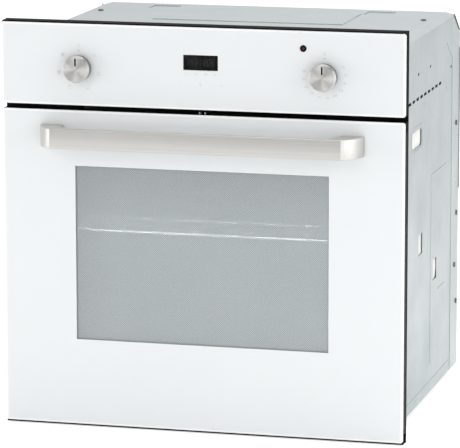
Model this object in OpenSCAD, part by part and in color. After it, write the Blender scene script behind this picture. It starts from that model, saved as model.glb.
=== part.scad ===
// Built-in wall oven, 60 cm class, with a white glass front and a drop-down door.
// Millimetres. +Z is up, the front faces -Y, and the origin is under the middle of the whole oven.
// Depths (y) are counted from the outer face of the glass towards the rear and shifted once, in place().

/* [Front] */
// Width of the front
front_w = 595; // [570:1:660]
// Height of the front
front_h = 595; // [580:1:640]
// Thickness of the outer glass
glass_t = 4; // [3:0.5:5]
// Corner radius of the outer glass
glass_r = 3; // [1:0.5:6]
// Height of the control panel glass
panel_h = 118.2; // [100:0.1:130]
// Gap between the control panel and the door
door_gap = 7.7; // [5:0.1:12]
// Trim that shows below the door glass
lower_strip = 4.2; // [3:0.1:6]
// Trim that shows above the panel glass
upper_strip = 2.1; // [1:0.1:4]
// Depth from the glass face to the rear of the front flange
front_depth = 23; // [22:0.5:30]
// Thickness of the front frame sheet
frame_t = 1.2; // [0.8:0.1:2]

/* [Casing] */
// Width of the casing
casing_w = 557.6; // [552:0.2:562]
// Height of the casing top above the bottom of the front
casing_top = 568; // [562:1:580]
// Height of the casing base above the bottom of the front
casing_base = 12.6; // [10:0.1:16]
// Depth from the glass face to the back of the casing
casing_depth = 495; // [480:1:580]
// Thickness of the casing sheet
sheet_t = 1; // [0.7:0.1:1.5]

/* [Cavity] */
// Width inside the cavity
cavity_w = 456; // [400:1:460]
// Height inside the cavity
cavity_h = 344; // [300:1:350]
// Height of the cavity floor above the bottom of the front
cavity_floor = 84; // [80:1:100]
// Depth inside the cavity
cavity_d = 390; // [360:1:410]
// Corner radius of the cavity
cavity_r = 20; // [15:1:40]
// Thickness of the cavity wall
liner_t = 1; // [0.8:0.1:1.5]

/* [Door] */
// Depth from the glass face to the rear of the door's outer part
door_rim_depth = 20.4; // [19:0.1:20.8]
// Depth from the glass face to the rear of the inner glass
door_depth = 33; // [30:0.5:36]
// Width of the inner glass
inner_glass_w = 504; // [480:1:510]
// Depth of the door's hinge pin behind the glass face
pivot_y = 11; // [10:0.5:12]
// Height of the hinge pin above the bottom of the front
pivot_z = 9.2; // [9:0.1:11]
// Distance of each hinge from the middle
hinge_x = 249; // [245:1:252]
// Radius of the hinge pins
hinge_pin_r = 3; // [2:0.5:4]

/* [Handle] */
// Length of the handle's flat front
handle_front_w = 434; // [380:1:440]
// Length of the handle at the door
handle_w = 478; // [460:1:500]
// Height of the handle bar
handle_h = 29; // [20:1:34]
// Reach of the handle in front of the glass
handle_reach = 40.4; // [36:0.2:55]
// Thickness of the handle bar
handle_t = 9; // [6:0.5:14]
// Height of the handle's middle above the bottom of the front
handle_z = 431.4; // [400:0.1:440]

/* [Controls] */
// Diameter of the control knobs
knob_d = 39.2; // [30:0.1:50]
// Reach of a knob in front of the glass
knob_reach = 18; // [12:0.5:24]
// Distance of each knob from the middle
knob_x = 181; // [150:1:220]
// Radius of the control spindles
spindle_r = 3; // [2.5:0.5:4]
// Width of the display
display_w = 51; // [40:1:70]
// Height of the display
display_h = 22; // [16:1:30]
// Distance of the pilot lamp from the middle
pilot_x = 150; // [120:1:155]

/* [Rack and tray] */
// Number of shelf levels
levels = 5; // [4:1:5]
// Distance between shelf levels
level_pitch = 50.5; // [46:0.5:56]
// Height of the lowest shelf level above the cavity floor
first_level = 44.5; // [40:0.5:60]
// Shelf level that the wire rack is on, counted from 1
rack_level = 4; // [3:1:4]
// Shelf level that the tray is on, counted from 1
tray_level = 2; // [1:1:2]
// Distance between the rack's long wires
rack_wire_pitch = 27.5; // [20:0.5:35]
// Depth of the baking tray
tray_depth = 36; // [20:1:40]

/* [Hidden] */
$fn = 64;
run_gap = 0.05;      // radial clearance of a pin or shaft that turns
slip = 0.3;          // clearance between pieces that slide past each other
eps = 0.01;          // overlap that joins two solids of one piece

// Levels of the front, from the bottom up
glass_w = front_w;
door_glass_w = front_w - 1;
door_glass_z = lower_strip;
panel_z = front_h - upper_strip - panel_h;
door_top_z = panel_z - door_gap;
door_glass_h = door_top_z - door_glass_z;
flange_y = front_depth - frame_t;
seat_step = 0.3;
seat_y = front_depth - seat_step;
control_z = panel_z + 54;
pilot_z = panel_z + 93.2;
display_z = panel_z + 67.6;

// Recess of the front frame, which takes the inner part of the door
recess_w = inner_glass_w + 20;
recess_z = 12;
recess_top = door_top_z - 8;
recess_y = door_depth + 6;
inner_base = 50;
inner_top = recess_top - 7;
face_y = recess_y + frame_t;
mouth_lip = 2.5;
outlet_w = 360;
outlet_z = door_top_z - 2.5;
outlet_h = 9;

// Cavity
cavity_mid_z = cavity_floor + cavity_h / 2;
cavity_top = cavity_floor + cavity_h;
cavity_back = face_y + cavity_d;
wall_back = cavity_back + liner_t;
wool_gap_base = 13;
wool_side_t = 38;
wool_top_t = 20;
wool_back_t = 14;

// Heating
tube_r = 3.3;
grill_z = cavity_top - 16;
grill_inner_z = grill_z - 8;
base_element_z = cavity_floor - 8;
lead_end_y = wall_back + 40;
loop_x = cavity_w / 2 - 43;
loop_r = 25;

// Fan behind the cavity
fan_z = cavity_mid_z;
fan_r = 72;
fan_shaft_r = 4;
fan_cover_w = 290;
fan_cover_h = 260;
fan_cover_y = cavity_back - 32;
ring_r = 92;

// Lamp
lamp_x = -(cavity_w / 2 - 42);
lamp_z = cavity_top - 56;
lamp_r = 24;

// Shelf supports
rung_r = 2.5;
rack_r = 3;
post_x = cavity_w / 2 - 6;
rack_half = post_x - rung_r - rack_r - 0.5;
rung_x = rack_half - 1;
post_front_y = face_y + 40;
post_back_y = cavity_back - 60;
shelf_front_y = face_y + 22;
shelf_back_y = fan_cover_y - 6;

// Cooling blower and its duct
duct_w = 366;
duct_front_z = [outlet_z - 2, outlet_z + outlet_h + 2];
duct_rear_z = [cavity_top + liner_t + wool_top_t + 2, cavity_top + 48];
duct_end_y = 232;
blower_y = 276;
blower_z = duct_rear_z[1] + 28;
blower_len = 236;
scroll_r = 36;
rotor_r = 24;
vent_x = 60;
vent_y = 200;
vent_r = 12;

// Hinge
arm_t = 4;
cheek_t = 2;
cassette_w = arm_t + 2 * cheek_t + 1;
eye_r = 6;
receiver_z = 31;
receiver_end_y = face_y + 80;

// Casing
side_x = casing_w / 2 - sheet_t;
wrap_y = casing_depth - 55;
slope_w = 12.8;
slope_h = 4;
chamfer_z = casing_top - 37;
chamfer_y = casing_depth - 42;
cover_drop = 38;
hand_hole = [143, 402, 71, 26, 8];
press_t = 0.8;
side_squares = [[188, 509.5], [274, 509.5], [433, 487.5]];
side_dimples = [[230, 459, 4.5], [404, 458.7, 6.5]];
wrap_dimples = [[472, 300.8], [471.6, 308.8]];
wrap_screws = [[469, 396], [477, 254], [465, 174], [480, 114]];
screw_r = 1.9;
screw_head_r = 4;
gland_x = -220;
gland_z = 440;
pocket_depth = 8;
cable_r = 6;
gland_r = 9;

// Fixing holes in the front flange
fix_x = (front_w - 19) / 2;
fix_z = [120, 415];
fix_r = 2.6;

// Handle
handle_leg_w = 34;
handle_screw_x = handle_w / 2 - handle_leg_w / 2;
handle_screw_r = 2.5;

// Middle of the whole depth, from the handle's front to the back of the casing
mid_y = (casing_depth - handle_reach) / 2;

// ---- shared shapes -------------------------------------------------------------------------

// Moves a piece drawn from the glass face to the oven's origin
module place() translate([0, -mid_y, 0]) children();

// A flat outline in x and z, given thickness t behind depth y
module facing(y, t) translate([0, y + t, 0]) rotate([90, 0, 0]) linear_extrude(t) children();

// A flat outline in y and z, given thickness t to the right of x
module sidewise(x, t) translate([x, 0, 0]) rotate([90, 0, 90]) linear_extrude(t) children();

// A flat outline in x and y, given height h above z
module upward(z, h) translate([0, 0, z]) linear_extrude(h) children();

// Rectangle with round corners, around its middle
module rounded(w, h, r) {
    square([w, h - 2 * r], center = true);
    square([w - 2 * r, h], center = true);
    for (sx = [-1, 1], sz = [-1, 1])
        translate([sx * (w / 2 - r), sz * (h / 2 - r)]) circle(r = r);
}

// Rectangle given by its two corners
module rect(x0, z0, x1, z1) translate([x0, z0]) square([x1 - x0, z1 - z0]);

// Straight round bar along one axis
module bar_x(x0, x1, y, z, r) translate([x0, y, z]) rotate([0, 90, 0]) cylinder(r = r, h = x1 - x0);
module bar_y(x, y0, y1, z, r) translate([x, y0, z]) rotate([-90, 0, 0]) cylinder(r = r, h = y1 - y0);
module bar_z(x, y, z0, z1, r) translate([x, y, z0]) cylinder(r = r, h = z1 - z0);

// Round bar bent flat through 90 degrees about (x, y), from angle a
module bend(x, y, z, big, r, a, sweep = 90)
    translate([x, y, z]) rotate([0, 0, a])
        rotate_extrude(angle = sweep) translate([big, 0]) circle(r = r);

// Thick line between two points of a flat outline
module stroke(p, q, w) {
    d = q - p;
    translate(p) rotate(atan2(d[1], d[0])) translate([0, -w / 2]) square([norm(d), w]);
}

// The same piece on the left and on the right
module both_sides() {
    children();
    mirror([1, 0, 0]) children();
}

// ---- front frame and casing ----------------------------------------------------------------

// Enamelled steel frame: flange against the cabinet, recess for the door, mouth of the cavity.
// The flange is set forward a little where the casing meets it, so its rim is what the cabinet touches.
module front_frame() color("#141414") place() {
    mid_recess = (recess_z + recess_top) / 2;
    high_recess = recess_top - recess_z;
    difference() {
        facing(flange_y, frame_t) difference() {
            rect(-front_w / 2, 0, front_w / 2, front_h);
            translate([0, mid_recess]) rounded(recess_w, high_recess, 6);
            rect(-outlet_w / 2, outlet_z, outlet_w / 2, outlet_z + outlet_h);
        }
        for (sx = [-1, 1], z = fix_z) bar_y(sx * fix_x, 0, casing_depth, z, fix_r);
        for (sx = [-1, 1]) bar_y(sx * knob_x, 0, casing_depth, control_z, 9);
        facing(seat_y, frame_t)
            rect(-casing_w / 2 - slip, recess_z - frame_t - slip, casing_w / 2 + slip, casing_top + slip);
    }
    facing(flange_y, face_y - flange_y) translate([0, mid_recess]) difference() {
        rounded(recess_w + 2 * frame_t, high_recess + 2 * frame_t, 6 + frame_t);
        rounded(recess_w, high_recess, 6);
    }
    facing(recess_y, frame_t) difference() {
        translate([0, mid_recess]) rounded(recess_w + frame_t, high_recess + frame_t, 6);
        translate([0, cavity_mid_z])
            rounded(cavity_w - 2 * mouth_lip, cavity_h - 2 * mouth_lip, cavity_r - mouth_lip);
        for (sx = [-1, 1])
            rect(sx * hinge_x - 5, receiver_z - 14, sx * hinge_x + 5, receiver_z + 14);
    }
}

// Enamelled cavity: floor, ceiling and both sides in one welded shell
module cavity_liner() color("#5c6066") place() difference() {
    facing(face_y, cavity_back - face_y) translate([0, cavity_mid_z]) difference() {
        rounded(cavity_w + 2 * liner_t, cavity_h + 2 * liner_t, cavity_r + liner_t);
        rounded(cavity_w, cavity_h, cavity_r);
    }
    bar_z(vent_x, vent_y, cavity_mid_z, casing_top, vent_r - 1);
}

// Enamelled rear wall with its holes for the fan shaft, the heaters and the lamp
module cavity_rear_wall() color("#54585e") place() difference() {
    facing(cavity_back, liner_t) translate([0, cavity_mid_z])
        rounded(cavity_w + 2 * liner_t, cavity_h + 2 * liner_t, cavity_r + liner_t);
    bar_y(0, cavity_back - 5, wall_back + 5, fan_z, fan_shaft_r + 3);
    bar_y(lamp_x, cavity_back - 5, wall_back + 5, lamp_z, lamp_r - 6);
    heater_leads(tube_r + 0.7);
}

// Straight ends of the three heaters, also used to cut their holes
module heater_leads(r) {
    for (sx = [-1, 1]) {
        bar_y(sx * 20, cavity_back - 5, lead_end_y, grill_z, r);
        bar_y(sx * 125, cavity_back - 5, lead_end_y, grill_inner_z, r);
        bar_y(sx * 9, cavity_back - 18, lead_end_y, fan_z - ring_r, r);
        bar_y(sx * 20, cavity_back - 5, lead_end_y, base_element_z, r);
    }
}

// Glass wool blanket round the cavity, with a slab behind it
module insulation() color("#e6e1d2") place() {
    out_w = cavity_w + 2 * liner_t + 2 * wool_side_t;
    base = cavity_floor - liner_t - wool_gap_base - wool_top_t;
    high = cavity_top + liner_t + wool_top_t;
    in_w = cavity_w / 2 + liner_t;
    difference() {
        facing(face_y + 1, wall_back - face_y - 1) difference() {
            rect(-out_w / 2, base, out_w / 2, high);
            rect(-in_w, base + wool_top_t, in_w, cavity_mid_z);
            translate([0, cavity_mid_z])
                rounded(cavity_w + 2 * liner_t, cavity_h + 2 * liner_t, cavity_r + liner_t);
        }
        bar_z(vent_x, vent_y, cavity_mid_z, casing_top, vent_r + 0.5);
    }
    difference() {
        facing(wall_back, wool_back_t) rect(-out_w / 2, base, out_w / 2, high);
        bar_y(0, wall_back - 1, casing_depth, fan_z, 58);
        bar_y(lamp_x, wall_back - 1, casing_depth, lamp_z, lamp_r - 4);
        heater_leads(tube_r + 3);
        for (sx = [-1, 1])
            translate([sx * 20, 0, base_element_z]) translate([-9, wall_back - 1, -9])
                cube([18, wool_back_t + 2, 18]);
    }
}

// One side panel: vent row, hand hole, windows over the insulation, bottom fold
module side_panel() difference() {
    union() {
        sidewise(side_x - sheet_t, sheet_t) difference() {
            polygon([[seat_y, casing_base + sheet_t],
                     [casing_depth - sheet_t, casing_base + sheet_t],
                     [casing_depth - sheet_t, chamfer_z - 4],
                     [chamfer_y - 20, casing_top - slope_h - sheet_t],
                     [seat_y, casing_top - slope_h - sheet_t]]);
            for (i = [0:8]) rect(118 + 27.5 * i, 471.5, 137 + 27.5 * i, 476);
            for (q = side_squares) translate(q) square([9, 4.5], center = true);
            hand_hole_outline(0);
            rect(195, 238, 225, 269);
            rect(304, 180, 333, 212);
        }
        translate([side_x - 18, face_y + slip, casing_base + sheet_t])
            cube([18 - eps, casing_depth - sheet_t - face_y - slip, sheet_t]);
        sidewise(side_x - eps, press_t) {
            rect(285.5, 56, 288.5, 344.5);
            rect(285.5 + 3 - eps, 341.5, 406, 344.5);
            rect(345, 158.5, 392, 161.5);
            rect(60, 27, 436, 30);
            for (q = side_dimples) translate([q[0], q[1]]) circle(r = q[2]);
            difference() {
                hand_hole_outline(7);
                hand_hole_outline(3);
            }
        }
    }
    wrap_screw_holes();
}

// Outline of the hand hole, grown by m
module hand_hole_outline(m)
    translate([hand_hole[0] + hand_hole[2] / 2, hand_hole[1] + hand_hole[3] / 2])
        rounded(hand_hole[2] + 2 * m, hand_hole[3] + 2 * m, hand_hole[4] + m);

// Holes for the screws that hold the rear cover's side flanges
module wrap_screw_holes()
    for (q = wrap_screws) bar_x(side_x - 20, side_x + 20, q[0], q[1], screw_r + 0.1);

module side_panel_left() color("#c6c9c6") place() mirror([1, 0, 0]) side_panel();
module side_panel_right() color("#c6c9c6") place() side_panel();

// Top cover: flat plate, two sloped edges and two side flanges, with the raised blower panel
module top_cover() color("#ced1ce") place() {
    flat_x = casing_w / 2 - slope_w;
    difference() {
        union() {
            translate([-flat_x, seat_y, casing_top - sheet_t])
                cube([2 * flat_x, chamfer_y - seat_y, sheet_t]);
            translate([-146, 262, casing_top - eps]) cube([292, 130, 1.6]);
        }
        for (sx = [-1, 1]) {
            translate([sx * 170 - 22, 396, casing_top - 20]) cube([44, 40, 40]);
            translate([sx * 230 - 8, 120, casing_top - 20]) cube([16, 60, 40]);
        }
        bar_z(252, 345, 0, 2 * casing_top, screw_r + 0.1);
        bar_z(-252, 345, 0, 2 * casing_top, screw_r + 0.1);
    }
    for (sx = [-1, 1]) translate([sx * 170 - 22, 396, casing_top - sheet_t - 2])
        difference() {
            translate([-1, -1, 0]) cube([46, 42, sheet_t + 2]);
            translate([0, 0, sheet_t]) cube([44, 40, 20]);
        }
    both_sides() {
        rotate([90, 0, 0]) translate([0, 0, -chamfer_y]) linear_extrude(chamfer_y - seat_y)
            polygon([[flat_x - eps, casing_top - sheet_t], [flat_x - eps, casing_top],
                     [side_x + sheet_t, casing_top - slope_h], [side_x + sheet_t, casing_top - slope_h - 2],
                     [side_x, casing_top - slope_h - 2], [side_x, casing_top - slope_h - 0.9]]);
        sidewise(side_x, sheet_t)
            polygon([[seat_y, casing_top - slope_h - 1], [seat_y, casing_top - cover_drop],
                     [wrap_y - 46, casing_top - cover_drop], [wrap_y - 1, casing_top - cover_drop - 30],
                     [wrap_y - 1, casing_top - slope_h - 1]]);
    }
}

// Rear cover: back plate, sloped upper part and side flanges that wrap the side panels
module rear_cover() color("#c2c5c2") place() difference() {
    union() {
        translate([-side_x - eps, casing_depth - sheet_t, casing_base])
            cube([2 * side_x + 2 * eps, sheet_t, chamfer_z - casing_base]);
        sidewise(-casing_w / 2 + slope_w, casing_w - 2 * slope_w)
            polygon([[casing_depth - sheet_t, chamfer_z - eps], [casing_depth, chamfer_z - eps],
                     [chamfer_y + 1.5, casing_top], [chamfer_y + 0.1, casing_top],
                     [chamfer_y + 0.1, casing_top - 0.1]]);
        both_sides() {
            sidewise(side_x, sheet_t)
                polygon([[wrap_y, casing_base], [casing_depth, casing_base],
                         [casing_depth, chamfer_z], [chamfer_y + 7, casing_top - slope_h - 2.2],
                         [wrap_y, casing_top - slope_h - 2.2]]);
            for (q = wrap_dimples) bar_x(side_x + eps, side_x + sheet_t + press_t, q[0], q[1], 2.4);
            sidewise(casing_w / 2 - slope_w - eps, slope_w - sheet_t + 2 * eps)
                polygon([[casing_depth - sheet_t, chamfer_z - eps], [casing_depth, chamfer_z - eps],
                         [chamfer_y + 4.6, casing_top - 3], [chamfer_y + 3.4, casing_top - 3]]);
        }
        translate([gland_x - 28, casing_depth - pocket_depth, gland_z - 27])
            cube([56, pocket_depth - eps, 54]);
        for (i = [0:6]) translate([60 + i * 22, casing_depth - sheet_t - 1.6, 300])
            cube([10, 1.7, 120]);
    }
    translate([gland_x - 26, casing_depth - pocket_depth + 2, gland_z - 25]) cube([52, 20, 50]);
    bar_y(gland_x, casing_depth - 20, casing_depth + 1, gland_z, gland_r);
    for (i = [0:6]) translate([62 + i * 22, casing_depth - 8, 302]) cube([6, 20, 116]);
    wrap_screw_holes();
    mirror([1, 0, 0]) wrap_screw_holes();
}

// Base tray: flat plate with a low rim and two pressed runners
module base_tray() color("#bfc2bf") place() difference() {
    union() {
        translate([-side_x + eps, face_y + slip, casing_base])
            cube([2 * side_x - 2 * eps, casing_depth - sheet_t - face_y - slip, sheet_t]);
        translate([-hinge_x + 20, face_y + slip, casing_base + eps]) cube([2 * hinge_x - 40, sheet_t, 22]);
        for (sx = [-1, 1]) translate([sx * 190 - 15, 80, casing_base + eps]) cube([30, 340, 4]);
    }
    for (sx = [-1, 1]) translate([sx * 190 - 13, 82, casing_base - 1]) cube([26, 336, 4]);
    for (i = [-3:3]) translate([i * 40 - 12, 250, casing_base - 1]) cube([24, 5, 10]);
}

// Pan-head screws of the casing, one solid each
module casing_screws() color("#9a9c9c") place() {
    both_sides() {
        for (q = wrap_screws) {
            bar_x(side_x - 8, side_x + sheet_t + eps, q[0], q[1], screw_r);
            bar_x(side_x + sheet_t, side_x + sheet_t + 2, q[0], q[1], screw_head_r);
        }
        bar_z(252, 345, casing_top - 8, casing_top + eps, screw_r);
        bar_z(252, 345, casing_top, casing_top + 2, screw_head_r);
    }
}

// ---- control panel -------------------------------------------------------------------------

// White printed glass of the control panel
module fascia_glass() color("#eef1f2") place() difference() {
    facing(0, glass_t) translate([0, panel_z + panel_h / 2]) rounded(glass_w, panel_h, glass_r);
    for (sx = [-1, 1]) bar_y(sx * knob_x, -1, glass_t + 1, control_z, 7);
    bar_y(pilot_x, -1, glass_t + 1, pilot_z, 4.2);
}

// Black moulded tray that the panel glass is bonded to
module fascia_carrier() color("#101010") place() {
    mid = (panel_z + front_h) / 2;
    high = front_h - panel_z;
    difference() {
        facing(glass_t, 2.5) difference() {
            translate([0, mid]) rounded(front_w, high, glass_r);
            translate([0, display_z]) square([display_w + 3, display_h + 3], center = true);
            for (sx = [-1, 1]) translate([sx * knob_x, control_z]) circle(r = 8);
            translate([pilot_x, pilot_z]) circle(r = 4.2);
        }
    }
    facing(glass_t + 2.5 - eps, flange_y - glass_t - 2.5 + eps) difference() {
        translate([0, mid]) rounded(front_w, high, glass_r);
        translate([0, mid]) rounded(front_w - 5, high - 5, glass_r);
    }
    translate([-front_w / 2 + 4, 0, front_h - upper_strip + slip])
        cube([front_w - 8, glass_t + eps, upper_strip - slip]);
    for (sx = [-1, 1], dx = [-1, 1])
        translate([sx * knob_x + dx * 26 - 1, glass_t + 2.4, control_z - 24])
            cube([2, flange_y - glass_t - 2.4, 48]);
}

// Dark filter of the display, behind the clear part of the glass
module timer_display() color("#181410") place()
    facing(glass_t, 2.4) translate([0, display_z]) square([display_w + 2, display_h + 2], center = true);

// Timer board with its housing and three touch pads
module timer_module() color("#22402c") place() {
    translate([-60, glass_t + 2.6, display_z - 36]) cube([120, 1.6, 52]);
    translate([-56, glass_t + 4.2 - eps, display_z - 33]) cube([112, flange_y - glass_t - 4.4, 46]);
}

// Red pilot lamp in its dark ring
module pilot_lamp() color("#8e1f1c") place() {
    bar_y(pilot_x, -0.6, flange_y - slip, pilot_z, 3.9);
    bar_y(pilot_x, -1, 0, pilot_z, 4.8);
}

// Body of a rotary control with its threaded neck, open for the spindle
module control_body(w, h, d, x) difference() {
    union() {
        translate([x - w / 2, seat_y, control_z - h / 2]) cube([w, d, h]);
        bar_y(x, glass_t + 3, front_depth + 1, control_z, 6);
        for (sz = [-1, 0, 1]) translate([x - 3, seat_y + d - eps, control_z + sz * 12 - 1])
            cube([6, 8, 0.8]);
    }
    bar_y(x, 0, front_depth + 30, control_z, spindle_r + run_gap);
}

module function_switch() color("#d8d2c0") place() control_body(46, 44, 38, -knob_x);

// Thermostat body with the copper capillary that leads to its bulb
module thermostat() color("#cfc8b4") place() {
    control_body(40, 36, 34, knob_x);
    bar_y(knob_x + 14, seat_y + 33, seat_y + 60, control_z - 10, 0.8);
}

// Sensing bulb of the thermostat, clipped under the cavity ceiling
module thermostat_bulb() color("#b98a5a") place() {
    bx = cavity_w / 2 - 17;
    bz = cavity_top - 13;
    bar_y(bx, cavity_back - 110, cavity_back - eps, bz, 2.5);
    for (y = [cavity_back - 95, cavity_back - 40])
        translate([bx - 1, y, bz]) cube([2, 3, 11.5]);
}

// Turned and brushed knob: skirt, bevelled rim, shallow cone face with a cut pointer
module knob(x) difference() {
    translate([x, 0, control_z]) rotate([90, 0, 0]) rotate_extrude()
        polygon([[0, 1], [knob_d / 2 - 1.2, 1], [knob_d / 2 - 0.6, 1.6], [knob_d / 2, knob_reach - 2.4],
                 [knob_d / 2 - 1.4, knob_reach - 0.5], [knob_d / 2 - 2, knob_reach - 0.4],
                 [0, knob_reach]]);
    bar_y(x, -knob_reach + 4, 0, control_z, spindle_r + 0.02);
    translate([x - 0.9, -knob_reach - 1, control_z + 5]) cube([1.8, 1.9, 10.5]);
    translate([x, 0, control_z]) rotate([90, 0, 0]) rotate_extrude()
        polygon([[9, 0], [knob_d / 2 - 2.5, 0], [knob_d / 2 - 2.5, 11], [9, 11]]);
}

// Turning spindle of a control: round in its neck, with a flat inside the knob
module spindle(x) difference() {
    bar_y(x, -knob_reach + 4.1, front_depth + 28, control_z, spindle_r);
    translate([x - 5, -knob_reach, control_z - spindle_r - 5]) cube([10, 12, 6]);
}

module knob_function() color("#b9b5ae") place() knob(-knob_x);
module function_spindle() color("#cfccc4") place() spindle(-knob_x);
module knob_temperature() color("#b9b5ae") place() knob(knob_x);
module temperature_spindle() color("#cfccc4") place() spindle(knob_x);

// ---- heating, fan, lamp ----------------------------------------------------------------------

// Upper heaters: one large loop, and a six-pass grill that hangs below it
module grill_element() color("#3a3a3c") place() {
    back_y = cavity_back - 50;
    front_y = face_y + 55;
    for (sx = [-1, 1]) {
        bar_y(sx * 20, back_y + loop_r, lead_end_y, grill_z, tube_r);
        bar_y(sx * loop_x, front_y + loop_r, back_y - loop_r, grill_z, tube_r);
    }
    for (sx = [0, 1]) mirror([sx, 0, 0]) {
        bend(20 + loop_r, back_y + loop_r, grill_z, loop_r, tube_r, 180);
        bar_x(20 + loop_r, loop_x - loop_r, back_y, grill_z, tube_r);
        bend(loop_x - loop_r, back_y - loop_r, grill_z, loop_r, tube_r, 0);
        bend(loop_x - loop_r, front_y + loop_r, grill_z, loop_r, tube_r, 270);
    }
    bar_x(-loop_x + loop_r, loop_x - loop_r, front_y, grill_z, tube_r);
    turn_front = face_y + 110;
    turn_back = cavity_back - 110;
    pass = 2 * loop_r;
    for (i = [0:5])
        bar_y((i - 2.5) * pass, turn_front, i % 5 == 0 ? lead_end_y : turn_back, grill_inner_z, tube_r);
    for (i = [-1:1]) bend(i * 2 * pass, turn_front, grill_inner_z, loop_r, tube_r, 180, 180);
    for (i = [-1, 1]) bend(i * pass, turn_back, grill_inner_z, loop_r, tube_r, 0, 180);
}

// Lower heater under the cavity floor
module bottom_element() color("#3a3a3c") place() {
    back_y = cavity_back - 60;
    front_y = face_y + 60;
    for (sx = [0, 1]) mirror([sx, 0, 0]) {
        bar_y(20, back_y + loop_r, lead_end_y, base_element_z, tube_r);
        bend(20 + loop_r, back_y + loop_r, base_element_z, loop_r, tube_r, 180);
        bar_x(20 + loop_r, loop_x - loop_r, back_y, base_element_z, tube_r);
        bend(loop_x - loop_r, back_y - loop_r, base_element_z, loop_r, tube_r, 0);
        bar_y(loop_x, front_y + loop_r, back_y - loop_r, base_element_z, tube_r);
        bend(loop_x - loop_r, front_y + loop_r, base_element_z, loop_r, tube_r, 270);
    }
    bar_x(-loop_x + loop_r, loop_x - loop_r, front_y, base_element_z, tube_r);
}

// Ring heater round the fan
module ring_element() color("#3a3a3c") place() {
    y = cavity_back - 16;
    open = asin(9 / ring_r);
    translate([0, y, fan_z]) rotate([90, 0, 0]) rotate([0, 0, 270 + open])
        rotate_extrude(angle = 360 - 2 * open) translate([ring_r, 0]) circle(r = tube_r);
    for (sx = [-1, 1]) {
        translate([sx * 9, y, fan_z - ring_r * cos(open)]) sphere(r = tube_r + 0.4);
        bar_y(sx * 9, y, lead_end_y, fan_z - ring_r * cos(open), tube_r - 0.3);
    }
}

// Pressed cover in front of the fan: round intake grille and slots along its edge
module fan_cover() color("#4c5055") place() difference() {
    translate([0, 0, fan_z]) facing(fan_cover_y, cavity_back - fan_cover_y)
        rounded(fan_cover_w, fan_cover_h, 20);
    translate([0, 0, fan_z]) facing(fan_cover_y + 1.2, cavity_back - fan_cover_y)
        rounded(fan_cover_w - 2.4, fan_cover_h - 2.4, 18.8);
    for (k = [0:2], i = [0:11 + 6 * k])
        rotate_about_fan(i * 360 / (12 + 6 * k)) translate([22 + 16 * k, -2]) square([11, 4]);
    for (sx = [-1, 1], sz = [-1, 1], i = [0:5])
        translate([sx * (fan_cover_w / 2 - 14) - 3, fan_cover_y - 1, fan_z + sz * (12 + 16 * i) - 4])
            cube([6, 4, 8]);
}

// Places a flat cut at an angle round the fan's axis, through the cover's front
module rotate_about_fan(a) translate([0, 0, fan_z]) facing(fan_cover_y - 1, 4) rotate(a) children();

// Fan motor behind the rear wall: mounting plate, stator and two bearing housings
module convection_motor() color("#8c8f92") place() difference() {
    union() {
        facing(wall_back, 1.5) translate([0, fan_z]) rounded(104, 60, 8);
        bar_y(0, wall_back, wall_back + 12, fan_z, 12);
        for (sx = [-1, 1]) bar_y(sx * 30, wall_back, wall_back + 14, fan_z, 4);
        translate([-36, wall_back + 12, fan_z - 30]) cube([72, 26, 60]);
        bar_y(0, wall_back + 38 - eps, wall_back + 48, fan_z, 14);
    }
    bar_y(0, cavity_back, casing_depth, fan_z, fan_shaft_r + run_gap);
}

// Fan wheel on its shaft: pressed disc with bent blades
module convection_fan() color("#9fa3a6") place() {
    y = cavity_back - 24;
    bar_y(0, y - 4, wall_back + 46, fan_z, fan_shaft_r);
    bar_y(0, y - 6, y + 4, fan_z, 9);
    bar_y(0, y + 14, y + 15.2, fan_z, fan_r);
    bar_y(0, y, y + 14.1, fan_z, 14);
    for (i = [0:9]) translate([0, y, fan_z]) rotate([0, i * 36, 0])
        translate([34, 0, 0]) rotate([0, 18, 0]) translate([0, -2, -0.6]) cube([34, 16.1, 1.2]);
}

// Cooling blower over the cavity: scroll with its mouth towards the duct
module blower_housing() color("#aeb2b5") place() difference() {
    union() {
        sidewise(-blower_len / 2, blower_len) union() {
            translate([blower_y, blower_z]) circle(r = scroll_r);
            rect(duct_end_y, duct_rear_z[0], blower_y, blower_z);
        }
        for (sx = [-1, 1])
            translate([sx * 104 - 8, blower_y - 20, duct_rear_z[0] - 2 + eps]) cube([16, 60, 2]);
    }
    sidewise(-blower_len / 2 + 1, blower_len - 2) {
        translate([blower_y, blower_z]) circle(r = scroll_r - 1);
        rect(duct_end_y - 1, duct_rear_z[0] + 1, blower_y - 1, duct_rear_z[1] - 1);
    }
    bar_x(-casing_w, 0, blower_y, blower_z, 2.5 + run_gap);
    bar_x(0, casing_w, blower_y, blower_z, 5);
    for (i = [-4:4]) translate([i * 24 - 7, blower_y + 8, blower_z]) cube([14, 40, 12]);
}

// Blower wheel: two end discs, blades between them, and its shaft
module blower_rotor() color("#c9cccd") place() {
    half = blower_len / 2 - 8;
    bar_x(-half - 12, half + 40, blower_y, blower_z, 2.5);
    for (x = [-half, -1, half - 2]) bar_x(x, x + 2, blower_y, blower_z, rotor_r);
    for (i = [0:15]) translate([-half, blower_y, blower_z]) rotate([i * 22.5, 0, 0])
        translate([0, rotor_r - 7, -0.5]) cube([2 * half, 6, 1]);
}

// Motor on the blower's right end
module blower_motor() color("#7c8084") place() difference() {
    union() {
        translate([blower_len / 2, blower_y - 22, blower_z - 26]) cube([8, 44, 52]);
        translate([blower_len / 2 + 8 - eps, blower_y - 18, blower_z - 20]) cube([22, 36, 40]);
        bar_x(blower_len / 2 + 30 - eps, blower_len / 2 + 36, blower_y, blower_z, 9);
    }
    bar_x(0, casing_w, blower_y, blower_z, 2.5 + run_gap);
}

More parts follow.
